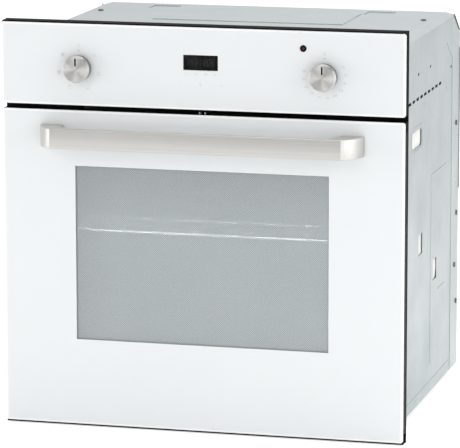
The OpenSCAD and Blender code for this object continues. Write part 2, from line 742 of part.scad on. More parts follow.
// Sheet duct from the blower to the slot above the door
module air_duct() color("#b4b8ba") place() {
    f = duct_front_z;
    r = duct_rear_z;
    outer = [[seat_y, f[0]], [face_y + 4, f[0]], [90, r[0]], [duct_end_y, r[0]],
             [duct_end_y, r[1]], [90, r[1]], [face_y + 4, f[1]], [seat_y, f[1]]];
    inner = [[seat_y - 1, f[0] + 1], [face_y + 4, f[0] + 1], [90, r[0] + 1], [duct_end_y + 1, r[0] + 1],
             [duct_end_y + 1, r[1] - 1], [90, r[1] - 1], [face_y + 4, f[1] - 1], [seat_y - 1, f[1] - 1]];
    difference() {
        sidewise(-duct_w / 2, duct_w) polygon(outer);
        sidewise(-duct_w / 2 + 1, duct_w - 2) polygon(inner);
        bar_z(vent_x, vent_y, cavity_top, r[0] + 2, vent_r - 1);
    }
    difference() {
        sidewise(-duct_w / 2, duct_w)
            rect(duct_end_y - 1, duct_rear_z[0], duct_end_y, duct_rear_z[1]);
        sidewise(-blower_len / 2 + 1, blower_len - 2)
            rect(duct_end_y - 3, duct_rear_z[0] + 1, duct_end_y + 3, duct_rear_z[1] - 1);
    }
}

// Steam pipe from the cavity ceiling into the duct
module vent_pipe() color("#a9adaf") place() difference() {
    bar_z(vent_x, vent_y, cavity_top + liner_t, duct_rear_z[0], vent_r);
    bar_z(vent_x, vent_y, cavity_top, casing_top, vent_r - 1);
}

// Safety thermostat on the duct: base plate, disc and two tabs
module overheat_cutout() color("#d9d4c4") place() {
    translate([-110, 150, duct_rear_z[1]]) cube([36, 22, 1]);
    bar_z(-92, 161, duct_rear_z[1] + 1 - eps, duct_rear_z[1] + 8, 8);
    for (sx = [-1, 1]) translate([-92 + sx * 4 - 0.4, 158, duct_rear_z[1] + 8 - eps]) cube([0.8, 6, 8]);
}

// Ceramic lamp holder behind the rear wall
module lamp_holder() color("#e9e5da") place() difference() {
    union() {
        bar_y(lamp_x, wall_back, wall_back + 26, lamp_z, lamp_r - 5);
        facing(wall_back, 1) translate([lamp_x, lamp_z]) circle(r = lamp_r - 4.5);
        for (sx = [-1, 1])
            translate([lamp_x + sx * 6 - 3, wall_back + 26 - eps, lamp_z - 0.4]) cube([6, 8, 0.8]);
    }
    bar_y(lamp_x, wall_back - 1, wall_back + 18, lamp_z, 8);
}

// Oven bulb: threaded base and pear-shaped glass
module lamp_bulb() color("#f3ecd2") place()
    translate([lamp_x, 0, lamp_z]) rotate([-90, 0, 0]) rotate_extrude()
        polygon([[0, cavity_back - 15], [6, cavity_back - 13.5], [9, cavity_back - 9], [9.5, cavity_back - 5],
                 [8.5, cavity_back], [7, wall_back + 2], [7, wall_back + 17], [0, wall_back + 17]]);

// Glass dome over the bulb, with its threaded collar
module lamp_cover() color("#cfd8da") place()
    translate([lamp_x, 0, lamp_z]) rotate([-90, 0, 0]) rotate_extrude()
        polygon([[lamp_r, cavity_back - eps], [lamp_r, cavity_back - 6], [lamp_r - 3, cavity_back - 8],
                 [lamp_r - 5, cavity_back - 17], [lamp_r - 10, cavity_back - 21], [0, cavity_back - 22],
                 [0, cavity_back - 20], [lamp_r - 11, cavity_back - 19], [lamp_r - 7, cavity_back - 15],
                 [lamp_r - 5.5, cavity_back - 6], [lamp_r - 5.5, cavity_back - eps]]);

// ---- shelves -----------------------------------------------------------------------------------

// Height of a shelf level
function level_z(n) = cavity_floor + first_level + (n - 1) * level_pitch;

// Chromed wire ladder on the cavity's right side
module side_ladder() {
    for (y = [post_front_y, post_back_y])
        bar_z(post_x, y, cavity_floor + 18, level_z(levels) + 22, rung_r);
    for (n = [1:levels]) {
        z = level_z(n) - rack_r - slip - rung_r;
        bar_y(rung_x, post_front_y - 6, post_back_y + 6, z, rung_r);
        for (y = [post_front_y, post_back_y]) bar_x(rung_x, post_x, y, z, rung_r - 0.5);
    }
    for (y = [post_front_y, post_back_y], z = [cavity_floor + 26, level_z(levels) + 14])
        bar_x(post_x, cavity_w / 2, y, z, rung_r - 0.5);
}
module side_ladder_right() color("#c9ccce") place() side_ladder();
module side_ladder_left() color("#c9ccce") place() mirror([1, 0, 0]) side_ladder();

// Chromed wire rack: round-cornered frame, two cross bars and the long wires on top
module wire_rack() color("#c9ccce") place() {
    z = level_z(rack_level);
    r_front = 40;
    r_back = 12;
    half_wires = floor((rack_half - 18) / rack_wire_pitch);
    wire_r = 1.6;
    bar_x(-rack_half + r_front, rack_half - r_front, shelf_front_y, z, rack_r);
    bar_x(-rack_half + r_back, rack_half - r_back, shelf_back_y, z, rack_r);
    for (sx = [0, 1]) mirror([sx, 0, 0]) {
        bar_y(rack_half, shelf_front_y + r_front, shelf_back_y - r_back, z, rack_r);
        bend(rack_half - r_front, shelf_front_y + r_front, z, r_front, rack_r, 270);
        bend(rack_half - r_back, shelf_back_y - r_back, z, r_back, rack_r, 0);
    }
    for (y = [shelf_front_y + 110, shelf_back_y - 90])
        bar_x(-rack_half, rack_half, y, z, rack_r - 0.5);
    for (i = [-half_wires:half_wires])
        bar_y(i * rack_wire_pitch, shelf_front_y - 1.5, shelf_back_y + 1.5, z + rack_r + 0.8, wire_r);
}

// Enamelled baking tray with a flat rim and sloped corners
module baking_tray() color("#2b2d31") place() {
    z = level_z(tray_level) - rack_r;
    half = rack_half + rack_r - 0.5;
    body_half = rung_x - rung_r - 3;
    d = shelf_back_y - shelf_front_y;
    mid = (shelf_front_y + shelf_back_y) / 2;
    wall = 1.2;
    difference() {
        upward(z, wall) translate([0, mid]) rounded(2 * half, d, 18);
        upward(z - 1, 4) translate([0, mid]) rounded(2 * body_half - 2 * wall, d - 20 - 2 * wall, 24 - wall);
    }
    difference() {
        upward(z - tray_depth, tray_depth + eps) translate([0, mid]) rounded(2 * body_half, d - 20, 24);
        upward(z - tray_depth + wall, tray_depth + 4) translate([0, mid])
            rounded(2 * body_half - 2 * wall, d - 20 - 2 * wall, 24 - wall);
    }
}

// ---- door seal, hinges, wiring -------------------------------------------------------------------

// Silicone seal round the mouth of the cavity
module door_gasket() color("#2c2c2e") place()
    facing(door_depth + slip, recess_y - door_depth - slip) translate([0, cavity_mid_z]) difference() {
        rounded(cavity_w + 24, cavity_h + 24, cavity_r + 12);
        rounded(cavity_w + 4, cavity_h + 4, cavity_r + 2);
    }

// Four rubber buffers that the closed door meets
module door_buffers() color("#1b1b1b") place()
    for (sx = [-1, 1], z = [60, door_top_z - 27])
        bar_y(sx * (front_w / 2 - 13), door_rim_depth + slip, flange_y, z, 4);

// Steel prongs in the gap over the door
module door_catch() color("#c4c7c8") place() {
    translate([-9, flange_y - 1.1, door_top_z - 7]) cube([18, 1.1, 14.4]);
    for (sx = [-1, 1]) translate([sx * 4 - 1, 9, door_top_z + 1.5]) cube([2, flange_y - 9 - eps, 4.5]);
}

// Steel channels behind the front frame that the hinge arms hook into
module hinge_receivers() color("#a4a7a8") place() both_sides() {
    difference() {
        translate([hinge_x - 6, face_y, receiver_z - 17]) cube([12, receiver_end_y - face_y, 34]);
        translate([hinge_x - 4, face_y - 1, receiver_z - 15]) cube([8, receiver_end_y - face_y - 1, 30]);
    }
    bar_x(hinge_x - 5, hinge_x + 5, face_y + 44, receiver_z - 10.4, 3);
}

// Outline of a hinge arm: eye, two bends and the hooked end
module arm_outline() difference() {
    union() {
        translate([pivot_y, pivot_z]) circle(r = eye_r);
        stroke([pivot_y, pivot_z], [pivot_y + 13, pivot_z + 13], 9);
        translate([pivot_y + 13, pivot_z + 13]) circle(r = 4.7);
        stroke([pivot_y + 13, pivot_z + 13], [face_y + 8, receiver_z], 9);
        translate([face_y + 8, receiver_z]) circle(r = 4.7);
        rect(face_y + 8, receiver_z - 4.5, face_y + 66, receiver_z + 4.5);
        rect(face_y + 52, receiver_z - 9, face_y + 62, receiver_z);
    }
    translate([pivot_y, pivot_z]) circle(r = hinge_pin_r + run_gap);
}

// Hinge arms, fixed to the cabinet side, that the door's pins turn in
module hinge_arms() color("#b0b3b4") place() both_sides()
    sidewise(hinge_x - arm_t / 2, arm_t) arm_outline();

// Terminal block with three screw terminals
module terminal_block() color("#e4e0d4") place() difference() {
    union() {
        translate([gland_x - 25, casing_depth - 34, gland_z + 38]) cube([50, 25, 30]);
        for (sx = [-1, 1])
            translate([gland_x + sx * 28 - 5, casing_depth - 34, gland_z + 38]) cube([10, 3, 30]);
    }
    for (i = [-1:1]) {
        bar_y(gland_x + i * 15, casing_depth - 18, casing_depth, gland_z + 60, 3.5);
        bar_z(gland_x + i * 15, casing_depth - 20, gland_z + 30, gland_z + 50, 2.5);
    }
}

// Cable inlet in the rear pocket: bushing with a hexagonal nut
module cable_gland() color("#26282a") place() difference() {
    floor_y = casing_depth - pocket_depth;
    union() {
        bar_y(gland_x, floor_y - 6, floor_y + 2 + eps, gland_z, gland_r - 0.1);
        bar_y(gland_x, floor_y + 2, floor_y + 7, gland_z, gland_r + 3);
        translate([gland_x, floor_y - 1, gland_z]) rotate([90, 0, 0])
            cylinder(r = gland_r + 3, h = 5, $fn = 6);
    }
    bar_y(gland_x, floor_y - 20, casing_depth + 5, gland_z, cable_r);
}

// ---- door ----------------------------------------------------------------------------------------

// White printed outer glass, drilled for the handle screws
module door_outer_glass() color("#eef1f2") place() difference() {
    facing(0, glass_t) translate([0, door_glass_z + door_glass_h / 2])
        rounded(door_glass_w, door_glass_h, glass_r);
    for (sx = [-1, 1]) bar_y(sx * handle_screw_x, -1, glass_t + 1, handle_z, handle_screw_r + 1);
}

// Heat-reflecting middle glass
module door_mid_glass() color("#c6ced2") place()
    facing(13, 4) translate([0, (62 + 440) / 2]) rounded(inner_glass_w - 28, 440 - 62, 4);

// Flat inner glass that meets the seal
module door_inner_glass() color("#b9c2c6") place()
    facing(door_depth - 4, 4) translate([0, (inner_base + inner_top) / 2])
        rounded(inner_glass_w, inner_top - inner_base, 4);

// Folded steel channel up the door's right side
module door_channel() {
    edge = door_glass_w / 2;
    step_x = inner_glass_w / 2 + 6;
    flange_x = inner_glass_w / 2 - 12;
    upward(16, inner_top - 16) {
        rect(hinge_x + 6, glass_t, edge, glass_t + 1.5);
        rect(edge - 1.5, glass_t, edge, door_rim_depth);
        rect(step_x - 1.5, door_rim_depth - 1.5, edge, door_rim_depth);
    }
    upward(inner_base, inner_top - inner_base) {
        rect(step_x - 1.5, door_rim_depth - 1.5, step_x, door_depth - 4);
        rect(flange_x, door_depth - 5.5, step_x, door_depth - 4);
    }
}
module door_channel_right() color("#161616") place() door_channel();
module door_channel_left() color("#161616") place() mirror([1, 0, 0]) door_channel();

// Black top trim with the door's air slots
module door_top_trim() color("#121212") place() difference() {
    union() {
        translate([-door_glass_w / 2, glass_t, inner_top])
            cube([door_glass_w, door_rim_depth - glass_t, door_top_z - 0.6 - inner_top]);
        translate([-inner_glass_w / 2 - 4, door_rim_depth - eps, inner_top])
            cube([inner_glass_w + 8, door_depth - door_rim_depth, recess_top - 1.5 - inner_top]);
    }
    for (i = [-9:9]) translate([i * 26 - 9, glass_t + 4, inner_top - 1]) cube([18, 5, door_glass_h]);
}

// Black bottom trim, notched for the two hinges
module door_bottom_trim() color("#121212") place() difference() {
    sidewise(-door_glass_w / 2, door_glass_w)
        polygon([[glass_t, 1.2], [16, 1.2], [20, 5], [20, 15.5], [18.5, 15.5], [18.5, 6], [15.4, 2.7],
                 [glass_t + 1.5, 2.7], [glass_t + 1.5, 15.5], [glass_t, 15.5]]);
    for (sx = [-1, 1]) translate([sx * hinge_x - 7, glass_t + 0.7, 0]) cube([14, 20, 30]);
}

// Spacer blocks that hold the glasses apart, four on each side of the middle glass
module glass_spacers() color("#2a2a2c") place()
    for (sx = [-1, 1], z = [75, handle_z - 22]) {
        translate([sx * 224 - 8, glass_t, z - 6]) cube([16, 13 - glass_t, 12]);
        translate([sx * 224 - 8, 17, z - 6]) cube([16, door_depth - 4 - 17, 12]);
    }

// Closed hinge cassettes inside the door, each with the pin that its arm turns on
module hinge_cassettes() color("#9da0a2") place() both_sides() {
    for (sx = [-1, 1]) sidewise(hinge_x + sx * (cassette_w - cheek_t) / 2 - cheek_t / 2, cheek_t) {
        translate([pivot_y, pivot_z]) circle(r = eye_r - 1);
        rect(pivot_y - eye_r + 1, pivot_z, door_rim_depth - 2, 60);
        rect(pivot_y - eye_r + 1, 56, 25, 210);
    }
    translate([hinge_x - cassette_w / 2 + eps, pivot_y - eye_r + 1, pivot_z + eye_r + 3])
        cube([cassette_w - 2 * eps, 1.6, 190]);
    translate([hinge_x - cassette_w / 2 + eps, 23.4, 58]) cube([cassette_w - 2 * eps, 1.6, 150]);
    bar_x(hinge_x - cassette_w / 2 + eps, hinge_x + cassette_w / 2 - eps, pivot_y, pivot_z, hinge_pin_r);
}

// ---- handle --------------------------------------------------------------------------------------

// Point of a quarter curve from p to q, bulging towards corner c
function curve(p, c, q, n = 10) =
    [for (i = [0:n]) let (u = i / n) (1 - u) * (1 - u) * p + 2 * u * (1 - u) * c + u * u * q];

// Brushed aluminium handle: flat bar with two legs that spread towards the door
module handle_bar() color("#c8c6c2") place() difference() {
    half_front = handle_front_w / 2;
    half = handle_w / 2;
    inner = half - handle_leg_w;
    under = -handle_reach + handle_t;
    right_outer = concat([[half_front - 3.2, -handle_reach]],
        curve([half_front, -handle_reach + 1.6], [half - 5, -handle_reach / 2 - 8], [half, -1]));
    right_inner = curve([inner, -1], [inner, under], [inner - 30, under]);
    right = concat(right_outer, right_inner);
    left = [for (i = [len(right) - 1:-1:0]) [-right[i][0], right[i][1]]];
    upward(handle_z - handle_h / 2, handle_h) polygon(concat(right, left));
    for (sx = [-1, 1]) bar_y(sx * handle_screw_x, -18, 1, handle_z, handle_screw_r + 0.02);
}

// Thin pads between the handle's legs and the glass
module handle_pads() color("#3a3a3a") place() difference() {
    upward(handle_z - handle_h / 2 + 0.6, handle_h - 1.2) both_sides()
        rect(handle_w / 2 - handle_leg_w + 0.6, -1, handle_w / 2 - 0.6, 0);
    for (sx = [-1, 1]) bar_y(sx * handle_screw_x, -2, 1, handle_z, handle_screw_r + 1);
}

// Two screws through the glass into the handle's legs
module handle_screws() color("#8b8d8e") place()
    for (sx = [-1, 1]) {
        bar_y(sx * handle_screw_x, -16, glass_t + eps, handle_z, handle_screw_r);
        bar_y(sx * handle_screw_x, glass_t, glass_t + 3, handle_z, 5);
    }

front_frame();
cavity_liner();
cavity_rear_wall();
insulation();
side_panel_left();
side_panel_right();
top_cover();
rear_cover();
base_tray();
casing_screws();
fascia_glass();
fascia_carrier();
timer_display();
timer_module();
pilot_lamp();
function_switch();
thermostat();
thermostat_bulb();
knob_function();
function_spindle();
knob_temperature();
temperature_spindle();
grill_element();
bottom_element();
ring_element();
fan_cover();
convection_motor();
convection_fan();
blower_housing();
blower_motor();
blower_rotor();
air_duct();
vent_pipe();
overheat_cutout();
lamp_holder();
lamp_bulb();
lamp_cover();
side_ladder_left();
side_ladder_right();
wire_rack();
baking_tray();
door_gasket();
door_buffers();
door_catch();
hinge_receivers();
hinge_arms();
terminal_block();
cable_gland();
door_outer_glass();
door_mid_glass();
door_inner_glass();
door_channel_left();
door_channel_right();
door_top_trim();
door_bottom_trim();
glass_spacers();
hinge_cassettes();
handle_bar();
handle_pads();
handle_screws();
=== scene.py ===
import math

import bmesh
import bpy
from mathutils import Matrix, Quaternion, Vector, noise


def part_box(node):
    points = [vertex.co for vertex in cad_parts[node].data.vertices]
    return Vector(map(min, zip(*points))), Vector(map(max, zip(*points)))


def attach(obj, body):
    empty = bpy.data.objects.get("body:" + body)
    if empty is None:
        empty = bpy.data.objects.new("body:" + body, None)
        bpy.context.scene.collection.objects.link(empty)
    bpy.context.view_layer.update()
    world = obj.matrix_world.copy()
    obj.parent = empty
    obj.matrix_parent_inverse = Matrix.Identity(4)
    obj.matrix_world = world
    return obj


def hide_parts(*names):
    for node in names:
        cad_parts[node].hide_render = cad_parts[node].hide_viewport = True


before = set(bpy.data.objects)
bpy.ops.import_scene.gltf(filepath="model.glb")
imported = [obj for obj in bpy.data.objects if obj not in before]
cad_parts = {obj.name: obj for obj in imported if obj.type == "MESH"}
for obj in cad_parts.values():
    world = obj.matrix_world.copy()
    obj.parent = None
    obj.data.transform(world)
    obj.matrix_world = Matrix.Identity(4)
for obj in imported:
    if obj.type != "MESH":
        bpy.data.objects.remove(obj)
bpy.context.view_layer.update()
scene = bpy.context.scene


# ---- camera ------------------------------------------------------------------------------------
# A long lens stands well back, to the right of the oven and a little above its middle.
camera = bpy.data.objects.new("camera", bpy.data.cameras.new("camera"))
scene.collection.objects.link(camera)
scene.camera = camera
camera.data.lens = 267.98
camera.data.clip_end = 60.0
camera_turn = math.radians(14.751)
camera_rise = math.radians(10.652)
camera_roll = -0.0017
camera_distance = 4.895
aim = Vector((0.0429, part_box("door_outer_glass")[0].y, 0.3116))
towards_camera = Vector((math.sin(camera_turn) * math.cos(camera_rise),
                         -math.cos(camera_turn) * math.cos(camera_rise),
                         math.sin(camera_rise)))
camera.location = aim + camera_distance * towards_camera
camera.rotation_mode = "QUATERNION"
camera.rotation_quaternion = (-towards_camera).to_track_quat("-Z", "Y") @ Quaternion((0, 0, 1), camera_roll)


# ---- studio ------------------------------------------------------------------------------------
# A white floor that lights itself a little, a pale tent all round, and five soft boxes.
def add(tree, kind, inputs=(), **settings):
    """Adds one shader node. An input that is a socket is linked, and any other value is set."""
    made = tree.nodes.new("ShaderNode" + kind)
    for label, value in settings.items():
        setattr(made, label, value)
    for label, value in dict(inputs).items():
        if isinstance(value, bpy.types.NodeSocket):
            tree.links.new(value, made.inputs[label])
        else:
            made.inputs[label].default_value = value
    return made


def calc(tree, operation, *values):
    """One step of arithmetic on shader values, clamped to 0 and 1."""
    return add(tree, "Math", dict(enumerate(values)), operation=operation, use_clamp=True).outputs[0]


def mix(tree, amount, first, second):
    """Blends two colours by an amount from 0 to 1."""
    made = add(tree, "Mix", {0: amount, 6: first, 7: second}, data_type="RGBA")
    return made.outputs[2]


def spread(tree, value, low, high):
    """Spreads a value from 0 to 1 over another range."""
    return add(tree, "MapRange", {"Value": value, "To Min": low, "To Max": high}).outputs[0]


scene.view_settings.view_transform = "Standard"
tent = bpy.data.worlds.new("tent")
scene.world = tent
tent.use_nodes = True
tent_tree = tent.node_tree
direction = add(tent_tree, "TexCoord").outputs["Generated"]
side_shade = add(tent_tree, "SeparateXYZ", {0: direction}).outputs["Y"]
tent_light = add(tent_tree, "MapRange", {"Value": side_shade, "From Min": -1.0, "From Max": 1.0,
                                         "To Min": 0.50, "To Max": 0.62}).outputs[0]
seen = add(tent_tree, "LightPath").outputs["Is Camera Ray"]
tent_strength = add(tent_tree, "Mix", {0: seen, 2: tent_light, 3: 1.05}).outputs[0]
background = tent_tree.nodes["Background"]
background.inputs["Color"].default_value = (0.985, 0.995, 1.0, 1.0)
tent_tree.links.new(tent_strength, background.inputs["Strength"])

floor_mesh = bpy.data.meshes.new("floor")
floor_half = 14.0
floor_mesh.from_pydata([(x * floor_half, y * floor_half, 0.0) for x,
                        y in ((-1, -1), (1, -1), (1, 1), (-1, 1))],
                       [], [(0, 1, 2, 3)])
floor = bpy.data.objects.new("floor", floor_mesh)
scene.collection.objects.link(floor)
floor_paint = bpy.data.materials.new("floor_paint")
floor_paint.use_nodes = True
floor_shader = floor_paint.node_tree.nodes["Principled BSDF"]
floor_shader.inputs["Base Color"].default_value = (0.86, 0.865, 0.87, 1.0)
floor_shader.inputs["Roughness"].default_value = 0.9
floor_shader.inputs["Emission Color"].default_value = (1.0, 1.0, 1.0, 1.0)
floor_seen = add(floor_paint.node_tree, "LightPath").outputs["Is Camera Ray"]
floor_glow = add(floor_paint.node_tree, "Mix", {0: floor_seen, 2: 0.22, 3: 0.55}).outputs[0]
floor_paint.node_tree.links.new(floor_glow, floor_shader.inputs["Emission Strength"])
floor_mesh.materials.append(floor_paint)

for box_name, place, size, power in (("key", (-1.7, -4.0, 2.7), 1.8, 27.0),
                                     ("front", (1.5, -2.0, 0.46), 0.9, 3.9),
                                     ("left", (-2.0, -1.0, 0.5), 1.1, 8.0),
                                     ("right", (2.5, -0.6, 0.9), 2.1, 24.0),
                                     ("top", (0.3, 0.6, 3.2), 2.2, 66.0)):
    light = bpy.data.objects.new(box_name, bpy.data.lights.new(box_name, "AREA"))
    scene.collection.objects.link(light)
    light.location = place
    light.rotation_mode = "QUATERNION"
    light.rotation_quaternion = (Vector((0, 0, 0.3)) - Vector(place)).to_track_quat("-Z", "Y")
    light.data.size = size
    light.data.energy = power
    light.data.color = (1.0, 0.995, 0.985)
    light.visible_camera = False


# ---- white front glasses -----------------------------------------------------------------------
# Two sheets of 4 mm toughened glass, printed white on the back, one over the controls and one on
# the door. Their front edges are ground to a wide, shallow bevel.
def effect(name, inputs, outputs):
    """Starts a shader effect that several finishes share."""
    tree = bpy.data.node_groups.new(name, "ShaderNodeTree")
    for label, kind, value in inputs:
        socket = tree.interface.new_socket(label, in_out="INPUT", socket_type="NodeSocket" + kind)
        socket.default_value = value
    for label, kind in outputs:
        tree.interface.new_socket(label, in_out="OUTPUT", socket_type="NodeSocket" + kind)
    return tree, tree.nodes.new("NodeGroupInput").outputs, tree.nodes.new("NodeGroupOutput").inputs


# Mottle: broad and fine unevenness of a surface, stretched along its grain
mottle, given, result = effect("mottle", [("Scale", "Float", 30.0), ("Stretch", "Vector", (1, 1, 1))],
                               [("Broad", "Float"), ("Fine", "Float")])
place_on_piece = add(mottle, "TexCoord").outputs["Object"]
stretched = add(mottle, "VectorMath", {0: place_on_piece, 1: given["Stretch"]},
                operation="MULTIPLY").outputs[0]
for label, factor, detail in (("Broad", 1.0, 3.0), ("Fine", 9.0, 2.0)):
    cells = add(mottle, "Math", {0: given["Scale"], 1: factor}, operation="MULTIPLY").outputs[0]
    cloud = add(mottle, "TexNoise", {"Vector": stretched, "Scale": cells, "Detail": detail}).outputs["Fac"]
    widened = add(mottle, "MapRange", {"Value": cloud, "From Min": 0.3, "From Max": 0.7}).outputs[0]
    mottle.links.new(widened, result[label])

# Edges: rounds the corners of a piece, and masks its edges, for wear and for painted highlights
edges, given, result = effect("edges", [("Radius", "Float", 0.0004)],
                              [("Normal", "Vector"), ("EdgeMask", "Float")])
rounded_normal = add(edges, "Bevel", {"Radius": given["Radius"]}, samples=4).outputs["Normal"]
flat_normal = add(edges, "NewGeometry").outputs["Normal"]
agreement = add(edges, "VectorMath", {0: rounded_normal, 1: flat_normal},
                operation="DOT_PRODUCT").outputs["Value"]
turned_away = calc(edges, "SUBTRACT", 1.0, agreement)
edges.links.new(calc(edges, "MULTIPLY", turned_away, 5.0), result["EdgeMask"])
edges.links.new(rounded_normal, result["Normal"])

# Dust: a thin film that settles where a surface faces up
dust, given, result = effect("dust", [("Amount", "Float", 0.2)], [("Film", "Float")])
upward = add(dust, "SeparateXYZ", {0: add(dust, "TexCoord").outputs["Normal"]}).outputs["Z"]
patches = add(dust, "TexNoise", {"Scale": 22.0, "Detail": 4.0}).outputs["Fac"]
dust.links.new(add(dust, "TexCoord").outputs["Object"], dust.nodes["Noise Texture"].inputs["Vector"])
dust.links.new(calc(dust, "MULTIPLY", calc(dust, "MULTIPLY", upward, patches), given["Amount"]),
               result["Film"])

dust_colour = (0.42, 0.40, 0.37, 1.0)


def blank(name):
    """A new material, with its node tree and its shader."""
    material = bpy.data.materials.new(name)
    material.use_nodes = True
    return material, material.node_tree, material.node_tree.nodes["Principled BSDF"]


def finish(name, colour, second, gloss, scale, stretch=(1, 1, 1), relief=0.1, metallic=0.0,
           radius=0.0004, edge_wear_and_highlight=None, edge_wear_and_highlight_amount=0.0, film=0.1, constants=()):
    """A solid finish: two mottled shades, uneven gloss, fine relief, rounded edges in a second tone (wear on
    most finishes, a painted highlight on the zinc) and dust.
    """
    material, tree, shader = blank(name)
    texture = add(tree, "Group", node_tree=mottle)
    texture.inputs["Scale"].default_value = scale
    texture.inputs["Stretch"].default_value = stretch
    edge = add(tree, "Group", node_tree=edges)
    edge.inputs["Radius"].default_value = radius
    settled = add(tree, "Group", node_tree=dust)
    settled.inputs["Amount"].default_value = film
    tone = mix(tree, texture.outputs["Broad"], (*colour, 1.0), (*second, 1.0))
    # The edge tone is wear on most finishes and a painted highlight on the zinc.
    edge_wear_and_highlight_mask = calc(tree, "MULTIPLY", edge.outputs["EdgeMask"], edge_wear_and_highlight_amount)
    tone = mix(tree, edge_wear_and_highlight_mask, tone, (*(edge_wear_and_highlight or second), 1.0))
    tone = mix(tree, settled.outputs["Film"], tone, dust_colour)
    tree.links.new(tone, shader.inputs["Base Color"])
    roughness = spread(tree, texture.outputs["Broad"], *gloss)
    dusted = calc(tree, "ADD", roughness, settled.outputs["Film"])
    tree.links.new(dusted, shader.inputs["Roughness"])
    surface = add(tree, "Bump", {"Height": texture.outputs["Fine"], "Strength": relief, "Distance": 0.0002,
                                 "Normal": edge.outputs["Normal"]}).outputs["Normal"]
    tree.links.new(surface, shader.inputs["Normal"])
    shader.inputs["Metallic"].default_value = metallic
    for label, value in dict(constants).items():
        shader.inputs[label].default_value = value
    return material


def dress(material, *nodes):
    """Gives CAD nodes their finish."""
    for name in nodes:
        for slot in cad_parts[name].material_slots:
            slot.material = material


def model(name, mesh, body, materials, stands_for=(), sharp=35.0, place=(0, 0, 0)):
    """Turns a worked mesh into a piece of the oven that rides on a body."""
    bmesh.ops.remove_doubles(mesh, verts=mesh.verts, dist=1e-6)
    bmesh.ops.recalc_face_normals(mesh, faces=mesh.faces)
    for face in mesh.faces:
        face.smooth = True
    for edge in mesh.edges:
        edge.smooth = len(edge.link_faces) == 2 and edge.calc_face_angle() < math.radians(sharp)
    data = bpy.data.meshes.new(name)
    mesh.to_mesh(data)
    mesh.free()
    for material in materials:
        data.materials.append(material)
    piece = bpy.data.objects.new(name, data)
    scene.collection.objects.link(piece)
    piece.location = place
    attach(piece, body)
    if stands_for:
        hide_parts(*stands_for)
    return piece


def arc(centre, radius, start, end, steps):
    """Points on a circle from one angle to another, in degrees."""
    angles = [math.radians(start + (end - start) * i / steps) for i in range(steps + 1)]
    return [(centre[0] + radius * math.cos(a), centre[1] + radius * math.sin(a)) for a in angles]


def rounded_outline(left, bottom, right, top, radius, steps=5):
    """A rectangle with round corners, as points in order."""
    corners = ((right - radius, top - radius, 0), (left + radius, top - radius, 90),
               (left + radius, bottom + radius, 180), (right - radius, bottom + radius, 270))
    return [p for x, y, a in corners for p in arc((x, y), radius, a, a + 90, steps)]


def circle(centre, radius, steps=24):
    """A full round outline."""
    return arc(centre, radius, 0, 360 * (steps - 1) / steps, steps - 1)


def ring_of(mesh, outline, depth):
    """Closed loop of points at one depth."""
    return [mesh.verts.new((x, depth, z)) for x, z in outline]


def bridge(mesh, first, second, material=0):
    """Quads between two loops that have the same number of points."""
    for i in range(len(first)):
        face = mesh.faces.new((first[i - 1], first[i], second[i], second[i - 1]))
        face.material_index = material


def fill_between(mesh, loops, material=0):
    """Flat faces inside the first loop and outside the others."""
    outline = []
    for loop in loops:
        for i in range(len(loop)):
            found = mesh.edges.get((loop[i - 1], loop[i]))
            outline.append(found or mesh.edges.new((loop[i - 1], loop[i])))
    filled = bmesh.ops.triangle_fill(mesh, edges=outline, use_beauty=True)
    for face in filled["geom"]:
        if isinstance(face, bmesh.types.BMFace):
            face.material_index = material


def glass_sheet(limits, front, back, corner, bevel, drop, holes=(), clear=None):
    """A sheet of glass with a bevelled front rim, through holes, and a clear field in its print."""
    left, bottom, right, top = limits
    mesh = bmesh.new()
    inner = (left + bevel, bottom + bevel, right - bevel, top - bevel)
    face_ring = ring_of(mesh, rounded_outline(*inner, max(corner - bevel, 0.0012)), front)
    rim_ring = ring_of(mesh, rounded_outline(*limits, corner), front + drop)
    back_ring = ring_of(mesh, rounded_outline(*limits, corner), back)
    bridge(mesh, face_ring, rim_ring, 1)
    bridge(mesh, rim_ring, back_ring, 1)
    front_loops, back_loops = [face_ring], [back_ring]
    for hole in holes:
        pair = ring_of(mesh, hole, front), ring_of(mesh, hole, back)
        bridge(mesh, *pair, 1)
        front_loops.append(pair[0])
        back_loops.append(pair[1])
    if clear:
        for loops, depth in ((front_loops, front), (back_loops, back)):
            field = ring_of(mesh, clear, depth)
            loops.append(field)
            mesh.faces.new(field).material_index = 2
    fill_between(mesh, front_loops)
    fill_between(mesh, back_loops)
    return mesh


glass_print = finish("white_glass_print", (0.80, 0.822, 0.835), (0.82, 0.84, 0.85), (0.06, 0.10), 3.0,
                     relief=0.02, film=0.03, constants={"Coat Weight": 0.35, "Coat Roughness": 0.02})
# Painted highlight: the rim is much lighter than the print, partly the bare ground glass edge and partly
# light caught along the bevel, painted in.
glass_rim_highlight = finish("ground_glass_rim_highlight", (0.93, 0.95, 0.955), (0.96, 0.975, 0.975), (0.10, 0.16), 60.0,
                   relief=0.03, film=0.0)

door_low, door_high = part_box("door_outer_glass")
glass_front, glass_back = door_low.y, door_high.y
rim_bevel = 0.0030
rim_drop = 0.0007
glass_corner = 0.0034
window_half = 0.1878
window_low, window_high = 0.1306, 0.3865
screw_low, screw_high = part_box("handle_screws")
handle_middle = (screw_low.z + screw_high.z) / 2
screw_reach = screw_high.x - 0.005
screw_hole_r = 0.0035
screw_hole = [circle((side * screw_reach, handle_middle), screw_hole_r) for side in (-1, 1)]
window_outline = [(window_half, window_high), (-window_half, window_high),
                  (-window_half, window_low), (window_half, window_low)]

